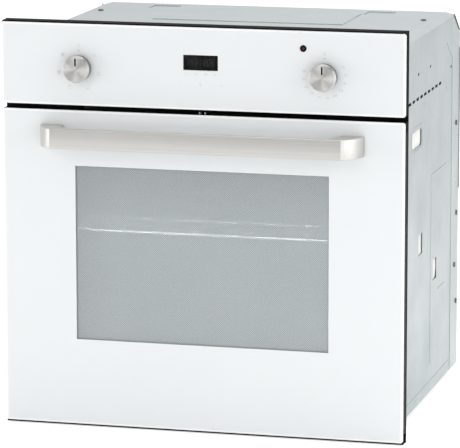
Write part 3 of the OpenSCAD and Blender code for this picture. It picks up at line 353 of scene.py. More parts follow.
# The window is a screen of small white dots printed on the back of the clear glass
window_print, tree, shader = blank("dotted_window_print")
where = add(tree, "TexCoord").outputs["Object"]
slanted = add(tree, "Mapping", {"Vector": where, "Rotation": (0.0, 0.785, 0.0),
                                "Scale": (1.0, 0.0, 1.0)}).outputs[0]
dot_rows = add(tree, "TexVoronoi", {"Vector": slanted, "Scale": 520.0, "Randomness": 0.0})
dot_mask = add(tree, "MapRange", {"Value": dot_rows.outputs["Distance"], "From Min": 0.54, "From Max": 0.36,
                                  "To Min": 0.47, "To Max": 0.98}).outputs[0]
thin_print = add(tree, "TexNoise", {"Vector": where, "Scale": 7.0, "Detail": 2.0}).outputs["Fac"]
print_and_painted_shade_tone = mix(tree, thin_print, (0.86, 0.91, 0.935, 1.0), (0.92, 0.955, 0.975, 1.0))
spot_x, _, spot_z = add(tree, "SeparateXYZ", {0: where}).outputs
# Painted shade: the screen darkens towards the top and the left of the window, standing in for the shadow
# that the door frame casts on the panes behind.
from_top = add(tree, "MapRange", {"Value": spot_z, "From Min": window_high,
                                  "From Max": window_high - 0.11}).outputs[0]
from_side = add(tree, "MapRange", {"Value": spot_x, "From Min": -window_half,
                                   "From Max": -window_half + 0.06}).outputs[0]
painted_frame_shade = calc(tree, "MULTIPLY", spread(tree, from_top, 0.86, 1.0), spread(tree, from_side, 0.93, 1.0))
print_and_painted_shade_tone = mix(tree, painted_frame_shade, (0.0, 0.0, 0.0, 1.0), print_and_painted_shade_tone)
tree.links.new(print_and_painted_shade_tone, shader.inputs["Base Color"])
tree.links.new(dot_mask, shader.inputs["Alpha"])
tree.links.new(spread(tree, thin_print, 0.10, 0.2), shader.inputs["Roughness"])

# Clear panes let most light through, and reflect more at a slant
clear_pane, tree, shader = blank("clear_pane")
slant = add(tree, "Fresnel", {"IOR": 1.45}).outputs[0]
film_cloud = add(tree, "TexNoise", {"Vector": add(tree, "TexCoord").outputs["Object"], "Scale": 14.0,
                                    "Detail": 3.0}).outputs["Fac"]
tree.links.new(mix(tree, film_cloud, (0.60, 0.66, 0.66, 1.0), (0.70, 0.75, 0.75, 1.0)),
               shader.inputs["Base Color"])
veil = calc(tree, "ADD", calc(tree, "MULTIPLY", film_cloud, 0.05), 0.03)
tree.links.new(calc(tree, "ADD", slant, veil), shader.inputs["Alpha"])
tree.links.new(spread(tree, film_cloud, 0.03, 0.08), shader.inputs["Roughness"])

door_limits = (door_low.x, door_low.z, door_high.x, door_high.z)
door_sheet = glass_sheet(door_limits, glass_front, glass_back, glass_corner, rim_bevel, rim_drop,
                         screw_hole, window_outline)
for face in door_sheet.faces:
    if face.material_index == 2 and face.calc_center_median().y > glass_back - 0.0005:
        face.material_index = 3
model("door_front_glass", door_sheet, "door",
      (glass_print, glass_rim_highlight, clear_pane, window_print),
      ("door_outer_glass",), sharp=9.0)

panel_low, panel_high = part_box("fascia_glass")
knob_places = [(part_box(knob)[0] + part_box(knob)[1]) / 2 for knob in ("knob_function", "knob_temperature")]
lamp_low, lamp_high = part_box("pilot_lamp")
lamp_place = (lamp_low + lamp_high) / 2
display_low, display_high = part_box("timer_display")
display_place = (display_low + display_high) / 2
display_half = Vector((0.0255, 0.0, 0.011))
panel_holes = [circle((place.x, place.z), 0.007) for place in knob_places]
panel_holes.append(circle((lamp_place.x, lamp_place.z), 0.0042))
display_min, display_max = display_place - display_half, display_place + display_half
display_outline = rounded_outline(display_min.x, display_min.z, display_max.x, display_max.z, 0.0008, 3)
panel_limits = (panel_low.x, panel_low.z, panel_high.x, panel_high.z)
panel_sheet = glass_sheet(panel_limits, glass_front, panel_high.y, glass_corner, rim_bevel, rim_drop,
                          panel_holes, display_outline)
for face in panel_sheet.faces:
    if face.material_index == 2 and face.calc_center_median().y > panel_high.y - 0.0005:
        face.material_index = 3
display_filter = finish("display_filter", (0.0155, 0.0135, 0.0125), (0.0195, 0.017, 0.0155), (0.10, 0.16),
                        60.0, film=0.02, constants={"Specular IOR Level": 0.2})
display_clear, tree, shader = blank("display_clear")
smears = add(tree, "TexNoise", {"Vector": add(tree, "TexCoord").outputs["Object"],
                                "Scale": 40.0}).outputs["Fac"]
tree.links.new(mix(tree, smears, (0.25, 0.25, 0.25, 1.0), (0.36, 0.36, 0.36, 1.0)),
               shader.inputs["Base Color"])
tree.links.new(spread(tree, smears, 0.03, 0.10), shader.inputs["Roughness"])
tree.links.new(calc(tree, "ADD", calc(tree, "MULTIPLY", smears, 0.04), 0.02), shader.inputs["Alpha"])
model("panel_front_glass", panel_sheet, "cabinet",
      (glass_print, glass_rim_highlight, display_clear, display_filter),
      ("fascia_glass",), sharp=9.0)


# ---- inner panes -------------------------------------------------------------------------------
# Two more panes behind the front glass keep the heat in. The innermost has a dark printed border
# that hides the door's channels and the spacers.
dress(clear_pane, "door_mid_glass")
border_print = finish("dark_border_print", (0.018, 0.019, 0.021), (0.026, 0.027, 0.029), (0.12, 0.2), 12.0,
                      relief=0.02, film=0.04)
inner_low, inner_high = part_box("door_inner_glass")
inner_limits = (inner_low.x, inner_low.z, inner_high.x, inner_high.z)
clear_field = rounded_outline(-0.196, window_low - 0.012, 0.196, window_high + 0.012, 0.012)
inner_sheet = glass_sheet(inner_limits, inner_low.y, inner_high.y, 0.004, 0.0008, 0.0004, (), clear_field)
for face in inner_sheet.faces:
    face.material_index = 1 if face.material_index == 2 else 0
model("door_inner_pane", inner_sheet, "door", (border_print, clear_pane),
      ("door_inner_glass",),
      sharp=20.0)


# ---- black trims and door frame ----------------------------------------------------------------
# Black enamelled steel and moulded plastic frame the glasses: the cabinet's front frame, the tray
# behind the panel glass, and the channels and trims behind the door glass.
black_enamel = finish("black_enamel", (0.004, 0.004, 0.0042), (0.007, 0.007, 0.0073), (0.5, 0.6), 40.0,
                      relief=0.08, edge_wear_and_highlight=(0.03, 0.03, 0.031), edge_wear_and_highlight_amount=0.3, film=0.03,
                      constants={"Specular IOR Level": 0.12})
black_plastic = finish("black_plastic", (0.003, 0.003, 0.0032), (0.006, 0.006, 0.0062), (0.62, 0.75), 90.0,
                       relief=0.2, edge_wear_and_highlight=(0.02, 0.02, 0.021), edge_wear_and_highlight_amount=0.3, film=0.03,
                       constants={"Specular IOR Level": 0.06})
dress(black_enamel, "front_frame", "door_channel_left", "door_channel_right")
dress(black_plastic, "fascia_carrier", "door_top_trim", "door_bottom_trim", "glass_spacers", "handle_pads",
      "cable_gland", "door_buffers")


# ---- handle ------------------------------------------------------------------------------------
# One flat bar of brushed aluminium. Its two legs curve back to the door, and all of its edges are
# broken with a small bevel. Two screws hold it through the glass.
brushed_bar = finish("brushed_aluminium", (0.57, 0.557, 0.53), (0.66, 0.645, 0.62), (0.30, 0.42), 60.0,
                     stretch=(0.04, 8.0, 34.0), relief=0.22, metallic=0.9, radius=0.0006,
                     edge_wear_and_highlight=(0.78, 0.78, 0.77), edge_wear_and_highlight_amount=0.5, film=0.05)
bar_low, bar_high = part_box("handle_bar")
bar_half = bar_high.x
bar_front_half = 0.217
leg_w = 0.034
under = bar_low.y + 0.009


def curve(start, corner, end, steps=14):
    """A smooth bend from one point to another, pulled towards a corner."""
    points = []
    for i in range(steps + 1):
        u = i / steps
        points.append(tuple((1 - u) ** 2 * a + 2 * u * (1 - u) * b + u * u * c
                            for a, b, c in zip(start, corner, end)))
    return points


def slab(outline, low, high):
    """A flat outline in x and y, raised from one height to another."""
    mesh = bmesh.new()
    floor_ring, roof_ring = ([mesh.verts.new((x, y, z)) for x, y in outline] for z in (low, high))
    bridge(mesh, floor_ring, roof_ring)
    mesh.faces.new(floor_ring)
    mesh.faces.new(roof_ring)
    return mesh


right_side = [(bar_front_half - 0.0032, bar_low.y)]
right_side += curve((bar_front_half, bar_low.y + 0.0016), (bar_half - 0.005, glass_front - 0.0282),
                    (bar_half, bar_high.y))
right_side += curve((bar_half - leg_w, bar_high.y), (bar_half - leg_w, under),
                    (bar_half - leg_w - 0.03, under))
bar_outline = right_side + [(-x, y) for x, y in reversed(right_side)]
bar = slab(bar_outline, bar_low.z, bar_high.z)
bmesh.ops.recalc_face_normals(bar, faces=bar.faces)
long_edges = [e for e in bar.edges if abs((e.verts[0].co - e.verts[1].co).z) < 1e-6]
bmesh.ops.bevel(bar, geom=long_edges, offset=0.0009, offset_type="OFFSET", segments=3, profile=0.5,
                affect="EDGES", clamp_overlap=True)
model("handle", bar, "door", (brushed_bar,), ("handle_bar",), sharp=24.0)


# ---- control knobs -----------------------------------------------------------------------------
# Solid turned knobs with a shallow cone face, fine cutting rings, and a rim bevel painted near white, partly
# a polished chamfer and partly a painted highlight.
# A cut pointer is filled black and has a pale edge.
knob_metal, tree, shader = blank("turned_knob")
where = add(tree, "TexCoord").outputs["Object"]
cutting = add(tree, "TexWave", {"Vector": where, "Scale": 420.0, "Distortion": 0.6, "Detail": 2.0,
                                "Detail Scale": 3.0},
              wave_type="RINGS", rings_direction="Y").outputs["Fac"]
knob_cloud = add(tree, "Group", node_tree=mottle)
knob_cloud.inputs["Scale"].default_value = 120.0
knob_edge = add(tree, "Group", node_tree=edges)
knob_edge.inputs["Radius"].default_value = 0.0003
tone = mix(tree, knob_cloud.outputs["Broad"], (0.70, 0.685, 0.66, 1.0), (0.78, 0.765, 0.74, 1.0))
tone = mix(tree, calc(tree, "MULTIPLY", cutting, 0.2), tone, (0.5, 0.49, 0.475, 1.0))
# Painted highlight: the rim bevel is mixed towards near white, partly the polished chamfer's own brightness.
tone = mix(tree, calc(tree, "MULTIPLY", knob_edge.outputs["EdgeMask"], 0.8), tone, (0.98, 0.98, 0.97, 1.0))
tree.links.new(tone, shader.inputs["Base Color"])
tree.links.new(spread(tree, knob_cloud.outputs["Fine"], 0.44, 0.50), shader.inputs["Roughness"])
tree.links.new(add(tree, "Bump", {"Height": cutting, "Strength": 0.18, "Distance": 0.0001,
                                  "Normal": knob_edge.outputs["Normal"]}).outputs["Normal"],
               shader.inputs["Normal"])
tree.links.new(add(tree, "Tangent", direction_type="RADIAL", axis="Y").outputs[0], shader.inputs["Tangent"])
shader.inputs["Metallic"].default_value = 1.0
shader.inputs["Anisotropic"].default_value = 1.0
shader.inputs["Anisotropic Rotation"].default_value = 0.25

pointer_black = finish("pointer_black", (0.003, 0.003, 0.003), (0.006, 0.006, 0.006), (0.5, 0.6), 200.0,
                       film=0.0, constants={"Specular IOR Level": 0.08})
pointer_pale = finish("pointer_pale", (0.85, 0.85, 0.84), (0.9, 0.9, 0.89), (0.35, 0.45), 200.0, film=0.0)


def turned(profile, steps=96, second_from=99):
    """Turns a profile of radius and depth about an axis. Bands from a given one on take a second finish."""
    mesh = bmesh.new()
    rings = [ring_of(mesh, circle((0.0, 0.0), radius, steps), depth) for radius, depth in profile]
    for band, (first, second) in enumerate(zip(rings, rings[1:])):
        bridge(mesh, first, second, 1 if band >= second_from else 0)
    return mesh


knob_low, knob_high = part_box("knob_function")
knob_r = (knob_high.x - knob_low.x) / 2
knob_face = knob_low.y
knob_back = knob_high.y
knob_profile = [(0.0, knob_face), (knob_r - 0.0021, knob_face + 0.0005),
                (knob_r - 0.0019, knob_face + 0.0007),
                (knob_r - 0.0016, knob_face + 0.0006), (knob_r - 0.0001, knob_face + 0.0024),
                (knob_r, knob_face + 0.0028), (knob_r, knob_face + 0.0042),
                (knob_r - 0.0003, knob_face + 0.0045),
                (knob_r - 0.0004, knob_face + 0.0052), (knob_r - 0.0006, knob_back - 0.0006),
                (knob_r - 0.0012, knob_back), (0.0, knob_back)]
knob_skirt = finish("dark_knob_skirt", (0.17, 0.19, 0.185), (0.22, 0.24, 0.235), (0.3, 0.42), 90.0,
                    stretch=(1, 8, 1), relief=0.1, metallic=0.5, edge_wear_and_highlight=(0.4, 0.4, 0.4), edge_wear_and_highlight_amount=0.3, film=0.03)


def pointer(name, half, low, high, proud, body, place, material):
    """The filled line that shows where a knob points."""
    mesh = bmesh.new()
    outline = rounded_outline(-half, low, half, high, half * 0.55, 3)
    front_ring = ring_of(mesh, outline, knob_face - proud)
    back_ring = ring_of(mesh, outline, knob_face + 0.0008)
    bridge(mesh, front_ring, back_ring)
    mesh.faces.new(front_ring)
    mesh.faces.new(back_ring)
    model(name, mesh, body, (material,), place=(place.x, 0, place.z))


for side, body, place in (("function", "function_knob", knob_places[0]),
                          ("temperature", "temperature_knob", knob_places[1])):
    model(side + "_knob_turned", turned(knob_profile, second_from=6), body,
          (knob_metal, knob_skirt), ("knob_" + side,), sharp=12.0, place=(place.x, 0, place.z))
    pointer(side + "_pointer_edge", 0.00165, 0.0042, knob_r - 0.0028, 0.00004, body, place, pointer_pale)
    pointer(side + "_pointer", 0.00130, 0.0047, knob_r - 0.0033, 0.00010, body, place, pointer_black)


# ---- dial marks and icons ----------------------------------------------------------------------
# Pale grey marks screened on the panel glass: a symbol for each function round the left knob,
# numbers round the right one, and small icons under the display. Each is a very thin film of ink.
mark_ink = finish("pale_grey_ink", (0.50, 0.52, 0.53), (0.56, 0.575, 0.58), (0.3, 0.4), 300.0, film=0.0)
dark_ink = finish("dark_grey_ink", (0.16, 0.165, 0.17), (0.2, 0.205, 0.21), (0.3, 0.4), 300.0, film=0.0)
ink_lift = 0.00006


def stripe(mesh, points, width, place, closed=False):
    """A line of ink along points, given in millimetres around a place on the glass."""
    line = [Vector((x * 0.001, z * 0.001)) for x, z in points]
    count = len(line)
    sides = []
    for i, point in enumerate(line):
        before = line[i - 1] if closed or i > 0 else point
        after = line[(i + 1) % count] if closed or i < count - 1 else point
        along = (after - before).normalized()
        across = Vector((-along.y, along.x)) * width * 0.0005
        sides.append([mesh.verts.new((place.x + p.x, glass_front - ink_lift, place.z + p.y))
                      for p in (point + across, point - across)])
    for i in range(0 if closed else 1, count):
        first, second = sides[i - 1], sides[i]
        mesh.faces.new((first[0], first[1], second[1], second[0]))


def spot(mesh, x, z, radius, place):
    """A filled dot of ink."""
    ring = circle((place.x + x * 0.001, place.z + z * 0.001), radius * 0.001, 14)
    mesh.faces.new([mesh.verts.new((px, glass_front - ink_lift, pz)) for px, pz in ring])


def box_lines(half_w, half_h, x=0.0, z=0.0):
    """Corners of a small rectangle around a point."""
    return [(x - half_w, z - half_h), (x + half_w, z - half_h), (x + half_w, z + half_h),
            (x - half_w, z + half_h)]


def ink_piece(name, mesh, material):
    """Keeps flat ink facing forward, and fixes it to the panel."""
    for face in mesh.faces:
        face.normal_update()
        if face.normal.y > 0:
            face.normal_flip()
    data = bpy.data.meshes.new(name)
    mesh.to_mesh(data)
    mesh.free()
    data.materials.append(material)
    piece = bpy.data.objects.new(name, data)
    scene.collection.objects.link(piece)
    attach(piece, "cabinet")
    return piece


def polar(radius, angle):
    """A point around a dial, with the angle counted clockwise from the top."""
    return radius * math.sin(math.radians(angle)), radius * math.cos(math.radians(angle))


def function_symbol(mesh, kind, x, z, place):
    """Small pictures of the heaters, the fan and the lamp."""
    half = 2.5
    if kind == "lamp":
        stripe(mesh, arc((x, z + 0.5), 1.7, -60, 240, 14), 0.35, place)
        stripe(mesh, [(x - 0.8, z - 1.9), (x + 0.8, z - 1.9)], 0.4, place)
        return
    stripe(mesh, box_lines(half, half, x, z), 0.35, place, closed=True)
    if kind in ("both", "top", "both_fan"):
        stripe(mesh, [(x - 1.6, z + 1.7), (x + 1.6, z + 1.7)], 0.5, place)
    if kind in ("both", "base", "both_fan"):
        stripe(mesh, [(x - 1.6, z - 1.7), (x + 1.6, z - 1.7)], 0.5, place)
    if kind in ("grill", "grill_fan"):
        stripe(mesh, [(x - 1.7, z + 1.9), (x - 1.1, z + 1.2), (x - 0.5, z + 1.9), (x, z + 1.2),
                      (x + 0.6, z + 1.9), (x + 1.2, z + 1.2), (x + 1.8, z + 1.9)], 0.35, place)
    if kind.endswith("fan"):
        for turn in (45, 135, 225, 315):
            tip = (x + 1.1 * math.cos(math.radians(turn)), z + 1.1 * math.sin(math.radians(turn)))
            stripe(mesh, [(x, z), tip], 0.55, place)
        stripe(mesh, arc((x, z), 1.35, 0, 345, 18), 0.25, place, closed=True)


left_dial = bmesh.new()
for position, kind in enumerate(("off", "lamp", "both", "base", "grill", "grill_fan", "both_fan")):
    x, z = polar(30.5, position * 360 / 7)
    if kind != "off":
        function_symbol(left_dial, kind, x, z, knob_places[0])
stripe(left_dial, arc((0, 33.4), 2.0, -210, 30, 14), 0.4, knob_places[0])
stripe(left_dial, [(0, 33.6), (0, 36.0)], 0.4, knob_places[0])
ink_piece("function_symbols", left_dial, mark_ink)

right_dial = bmesh.new()
stripe(right_dial, [(0, 32.2), (0, 35.6)], 0.5, knob_places[1])
stripe(right_dial, arc((0, 31.9), 1.3, 120, 420, 14), 0.5, knob_places[1])
ink_piece("temperature_symbol", right_dial, mark_ink)

for step, degrees in enumerate(range(50, 251, 20)):
    words = bpy.data.curves.new("degrees", "FONT")
    words.body = str(degrees)
    words.size = 0.0040
    words.align_x, words.align_y = "CENTER", "CENTER"
    holder = bpy.data.objects.new("degrees", words)
    scene.collection.objects.link(holder)
    bpy.context.view_layer.update()
    digits = bmesh.new()
    graph = bpy.context.evaluated_depsgraph_get()
    digits.from_mesh(bpy.data.meshes.new_from_object(holder.evaluated_get(graph)))
    bpy.data.objects.remove(holder)
    x, z = polar(30.5, 62.0 + step * 22.2)
    for vertex in digits.verts:
        flat = vertex.co.copy()
        vertex.co = (knob_places[1].x + x * 0.001 + flat.x, glass_front - ink_lift,
                     knob_places[1].z + z * 0.001 + flat.y)
    ink_piece(f"degrees_{degrees}", digits, mark_ink)

dots = bmesh.new()
for place in knob_places:
    spot(dots, 0.0, 26.0, 0.75, place)
ink_piece("dial_dots", dots, dark_ink)

icons = bmesh.new()
icon_z = -16.3
touch_z = -31.3
for x, shape in ((-21.3, "bell"), (-6.7, "clock"), (7.2, "end"), (21.7, "pot")):
    if shape in ("clock", "end"):
        stripe(icons, arc((x, icon_z), 1.5, 0, 345, 18), 0.3, display_place, closed=True)
        stripe(icons, [(x, icon_z + 0.9), (x, icon_z), (x + 0.7, icon_z)], 0.3, display_place)
    if shape == "end":
        stripe(icons, [(x + 1.8, icon_z - 1.4), (x + 1.8, icon_z + 1.4)], 0.35, display_place)
    if shape == "bell":
        stripe(icons, [(x - 1.5, icon_z - 1), (x - 1.1, icon_z + 0.8), (x, icon_z + 1.5),
                       (x + 1.1, icon_z + 0.8), (x + 1.5, icon_z - 1)], 0.3, display_place, closed=True)
    if shape == "pot":
        stripe(icons, box_lines(1.4, 0.8, x, icon_z - 0.4), 0.3, display_place, closed=True)
        stripe(icons, [(x - 1.7, icon_z + 0.7), (x + 1.7, icon_z + 0.7)], 0.3, display_place)
for x, shape in ((-30.5, "less"), (0.0, "set"), (30.5, "more")):
    if shape != "set":
        stripe(icons, [(x - 1.4, touch_z), (x + 1.4, touch_z)], 0.4, display_place)
    if shape == "more":
        stripe(icons, [(x, touch_z - 1.4), (x, touch_z + 1.4)], 0.4, display_place)
    if shape == "set":
        stripe(icons, arc((x, touch_z), 1.6, 0, 345, 18), 0.35, display_place, closed=True)
        spot(icons, x, touch_z, 0.45, display_place)
ink_piece("timer_icons", icons, mark_ink)


# ---- display and pilot lamp --------------------------------------------------------------------
# A dark brown filter hides the unlit digits of the timer. The pilot lamp is a dull red lens in a
# black ring, pushed in from the front.
dress(display_filter, "timer_display")
digit_print = finish("unlit_digits", (0.020, 0.015, 0.012), (0.024, 0.018, 0.015), (0.3, 0.4), 200.0,
                     film=0.0)
digits = bmesh.new()
digit_half, digit_w = 4.6, 0.75
for x in (-15.0, -6.6, 6.6, 15.0):
    for bar_z in (-digit_half, 0.0, digit_half):
        stripe(digits, [(x - 1.8, bar_z), (x + 1.8, bar_z)], digit_w, display_place)
    for side in (-2.5, 2.5):
        stripe(digits, [(x + side, 0.6), (x + side, digit_half - 0.6)], digit_w, display_place)
        stripe(digits, [(x + side, -0.6), (x + side, 0.6 - digit_half)], digit_w, display_place)
for dot_z in (-1.8, 1.8):
    spot(digits, 0.0, dot_z, 0.55, display_place)
for vertex in digits.verts:
    vertex.co.y = panel_high.y - 0.0001
segments = ink_piece("timer_digits", digits, digit_print)

lamp_ring_black = finish("pilot_ring", (0.003, 0.003, 0.003), (0.005, 0.005, 0.005), (0.5, 0.6), 200.0,
                         film=0.0, constants={"Specular IOR Level": 0.1})
lamp_red = finish("pilot_lens", (0.055, 0.010, 0.009), (0.07, 0.013, 0.012), (0.16, 0.24), 200.0, film=0.0,
                  constants={"Specular IOR Level": 0.3})
lamp_r = (lamp_high.x - lamp_low.x) / 2
lamp_tube_r = 0.0039
lens_r = 0.0024
ring_profile = [(lens_r, glass_front + 0.0004), (lens_r, lamp_low.y + 0.0003), (lens_r + 0.0004, lamp_low.y),
                (lamp_r - 0.0005, lamp_low.y), (lamp_r, lamp_low.y + 0.0005), (lamp_r, glass_front - 0.00005),
                (lamp_tube_r, glass_front - 0.00005), (lamp_tube_r, lamp_high.y), (0.0, lamp_high.y)]
model("pilot_ring", turned(ring_profile, 48), "cabinet", (lamp_ring_black,), ("pilot_lamp",),
      place=(lamp_place.x, 0, lamp_place.z))
lens_profile = [(0.0, lamp_low.y + 0.00002), (0.0010, lamp_low.y + 0.00014), (0.0018, lamp_low.y + 0.0004),
                (lens_r - 0.00005, lamp_low.y + 0.0008), (lens_r - 0.00005, glass_front + 0.001),
                (0.0, glass_front + 0.001)]
model("pilot_lens", turned(lens_profile, 48), "cabinet", (lamp_red,),
      place=(lamp_place.x, 0, lamp_place.z))


# ---- galvanised casing -------------------------------------------------------------------------
# Folded sheets of galvanised steel, screwed together: sides, top, back and base. The zinc shows small
# crystals, and a brighter line along the cut and folded edges is a painted highlight.
crystals, given, result = effect("zinc_crystals", [("Scale", "Float", 160.0)],
                                 [("Shade", "Float"), ("Cloud", "Float")])
sheet_place = add(crystals, "TexCoord").outputs["Object"]
cells = add(crystals, "TexVoronoi", {"Vector": sheet_place, "Scale": given["Scale"]}).outputs["Color"]
cell_shade = add(crystals, "SeparateColor", {0: cells}).outputs[0]
crystals.links.new(cell_shade, result["Shade"])
smear = add(crystals, "TexNoise", {"Vector": sheet_place, "Scale": 5.0, "Detail": 4.0,
                                   "Roughness": 0.6}).outputs["Fac"]
crystals.links.new(smear, result["Cloud"])


def zinc(name, light, dark, metallic, gloss=(0.38, 0.52)):
    """Galvanised sheet, from its two shades."""
    # The light edge tone is a painted highlight along the folds and cut edges.
    material = finish(name, light, dark, gloss, 9.0, relief=0.06, metallic=metallic, radius=0.0008,
                      edge_wear_and_highlight=(0.86, 0.88, 0.87), edge_wear_and_highlight_amount=0.7, film=0.10)
    tree = material.node_tree
    shader = tree.nodes["Principled BSDF"]
    plain = shader.inputs["Base Color"].links[0].from_socket
    flecks = add(tree, "Group", node_tree=crystals)
    flecks.inputs["Scale"].default_value = 140.0
    fleck_amount = calc(tree, "MULTIPLY", flecks.outputs["Shade"], 0.22)
    tone = mix(tree, fleck_amount, plain, (light[0] * 1.12, light[1] * 1.12, light[2] * 1.12, 1.0))
    cloud_amount = calc(tree, "MULTIPLY", flecks.outputs["Cloud"], 0.3)
    tree.links.new(mix(tree, cloud_amount, tone, (*dark, 1.0)), shader.inputs["Base Color"])
    return material


zinc_sheet = zinc("galvanised_sheet", (0.51, 0.548, 0.555), (0.435, 0.47, 0.48), 0.5)
dress(zinc_sheet, "side_panel_left", "side_panel_right", "top_cover", "base_tray")
zinc_back = zinc("galvanised_back", (0.54, 0.575, 0.575), (0.47, 0.50, 0.505), 0.5)
dress(zinc_back, "rear_cover")
zinc_inside = zinc("galvanised_parts", (0.50, 0.51, 0.50), (0.42, 0.43, 0.42), 0.7)
dress(zinc_inside, "air_duct", "blower_housing", "vent_pipe", "hinge_receivers", "cavity_rear_wall")


# ---- painted shadow gaps -----------------------------------------------------------------------
# Painted shadow: thin black strips in the black plastic finish stand in for the shadow gap along the rear
# edges on both sides, where the back laps the side panels. One stands upright, and one follows the slope at
# the top.
casing_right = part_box("rear_cover")[1].x
casing_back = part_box("rear_cover")[1].y
gap_strip_half = 0.0010
gap_strip_sunk = 0.0002
gap_strip_proud = 0.00025
upright_gap_strip = ((casing_back - 0.0020, 0.290), (casing_back - 0.0020, 0.510))
sloped_gap_strip = ((casing_back - 0.0500, 0.5655), (casing_back - 0.0065, 0.5370))
for side, sign in (("right", 1), ("left", -1)):
    strip = bmesh.new()
    for start, end in (upright_gap_strip, sloped_gap_strip):
        along = (Vector(end) - Vector(start)).normalized()
        across = Vector((-along.y, along.x)) * gap_strip_half
        corners = [Vector(start) + across, Vector(start) - across,
                   Vector(end) - across, Vector(end) + across]
        rims = [[strip.verts.new((sign * reach, y, z)) for y, z in corners]
                for reach in (casing_right - gap_strip_sunk, casing_right + gap_strip_proud)]
        bridge(strip, *rims)
        strip.faces.new(rims[0])
        strip.faces.new(rims[1])
    bmesh.ops.recalc_face_normals(strip, faces=strip.faces)
    model("shadow_gap_strip_" + side, strip, "cabinet", (black_plastic,))


# ---- screws, catch and hinges ------------------------------------------------------------------
# Pan-head screws with a cross recess hold the casing. The hinges are pressed steel: closed
# cassettes in the door, and arms that hook into channels behind the front frame.
bright_steel = finish("bright_zinc_steel", (0.60, 0.60, 0.59), (0.68, 0.68, 0.67), (0.25, 0.38), 220.0,
                      relief=0.12, metallic=1.0, radius=0.0003, edge_wear_and_highlight=(0.85, 0.85, 0.84), edge_wear_and_highlight_amount=0.6, film=0.05)
pressed_steel = finish("pressed_steel", (0.42, 0.43, 0.43), (0.50, 0.51, 0.51), (0.36, 0.5), 90.0,
                       stretch=(1, 1, 0.2), relief=0.15, metallic=0.9, radius=0.0004,
                       edge_wear_and_highlight=(0.75, 0.75, 0.74), edge_wear_and_highlight_amount=0.6, film=0.08)
dress(bright_steel, "handle_screws", "function_spindle", "temperature_spindle")
dark_screws = finish("dark_zinc_screws", (0.12, 0.12, 0.12), (0.17, 0.17, 0.165), (0.3, 0.45), 220.0,
                     relief=0.12, metallic=0.9, radius=0.0003, edge_wear_and_highlight=(0.4, 0.4, 0.39), edge_wear_and_highlight_amount=0.5, film=0.05)
dress(dark_screws, "casing_screws")
dress(pressed_steel, "hinge_arms", "hinge_cassettes")


def block(mesh, low, high, bevel=0.0003):
    """A box with broken edges, from its low corner to its high corner."""
    outline = [(low[0], low[1]), (high[0], low[1]), (high[0], high[1]), (low[0], high[1])]
    made = slab(outline, low[2], high[2])
    bmesh.ops.recalc_face_normals(made, faces=made.faces)
    bmesh.ops.bevel(made, geom=made.edges[:], offset=bevel, offset_type="OFFSET", segments=2, profile=0.5,
                    affect="EDGES", clamp_overlap=True)
    held = bpy.data.meshes.new("block")
    made.to_mesh(held)
    made.free()
    mesh.from_mesh(held)
    bpy.data.meshes.remove(held)


catch_low, catch_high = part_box("door_catch")
catch_plate = bmesh.new()
block(catch_plate, (catch_low.x, catch_high.y - 0.0011, catch_low.z),
      (catch_high.x, catch_high.y, catch_high.z))
model("catch_plate", catch_plate, "cabinet", (black_enamel,), ("door_catch",))
prongs = bmesh.new()
prong_z = (catch_low.z + catch_high.z) / 2
for side in (-1, 1):
    block(prongs, (side * 0.004 - 0.001, catch_low.y, prong_z - 0.0012),
          (side * 0.004 + 0.001, catch_high.y - 0.0011, prong_z + 0.0028))
model("catch_prongs", prongs, "cabinet", (bright_steel,), ("door_catch",))


# ---- cavity ------------------------------------------------------------------------------------
# The cavity is pressed steel with fired dark grey enamel, finely speckled. The fan cover and the
# lamp stand on its rear wall.
cavity_enamel = finish("cavity_enamel", (0.045, 0.048, 0.052), (0.065, 0.069, 0.074), (0.22, 0.32), 14.0,
                       relief=0.05, radius=0.0012, edge_wear_and_highlight=(0.12, 0.125, 0.13), edge_wear_and_highlight_amount=0.3, film=0.05)
tree = cavity_enamel.node_tree
shader = tree.nodes["Principled BSDF"]
plain = shader.inputs["Base Color"].links[0].from_socket
where = add(tree, "TexCoord").outputs["Object"]
speck_cells = add(tree, "TexVoronoi", {"Vector": where, "Scale": 420.0}).outputs["Distance"]
specks = add(tree, "MapRange", {"Value": speck_cells, "From Min": 0.22, "From Max": 0.12}).outputs[0]
tree.links.new(mix(tree, calc(tree, "MULTIPLY", specks, 0.7), plain, (0.30, 0.31, 0.32, 1.0)),
               shader.inputs["Base Color"])
dress(cavity_enamel, "cavity_liner", "fan_cover")
tray_enamel = finish("tray_enamel", (0.012, 0.0125, 0.014), (0.02, 0.021, 0.023), (0.18, 0.28), 60.0,
                     relief=0.12, radius=0.0012, edge_wear_and_highlight=(0.06, 0.06, 0.06), edge_wear_and_highlight_amount=0.5, film=0.06)
dress(tray_enamel, "baking_tray")
lamp_glass, tree, shader = blank("lamp_glass")
ripple = add(tree, "TexNoise", {"Vector": add(tree, "TexCoord").outputs["Object"],
                                "Scale": 160.0}).outputs["Fac"]
tree.links.new(mix(tree, ripple, (0.90, 0.93, 0.92, 1.0), (0.97, 0.98, 0.97, 1.0)),
               shader.inputs["Base Color"])
tree.links.new(spread(tree, ripple, 0.02, 0.10), shader.inputs["Roughness"])
tree.links.new(add(tree, "Bump", {"Height": ripple, "Strength": 0.15, "Distance": 0.0005}).outputs["Normal"],
               shader.inputs["Normal"])
shader.inputs["Transmission Weight"].default_value = 1.0
dress(lamp_glass, "lamp_cover", "lamp_bulb")
ceramic = finish("glazed_ceramic", (0.72, 0.69, 0.62), (0.80, 0.77, 0.70), (0.25, 0.4), 90.0, relief=0.1,
                 edge_wear_and_highlight=(0.6, 0.57, 0.5), edge_wear_and_highlight_amount=0.3, film=0.08)
dress(ceramic, "lamp_holder", "terminal_block", "overheat_cutout")


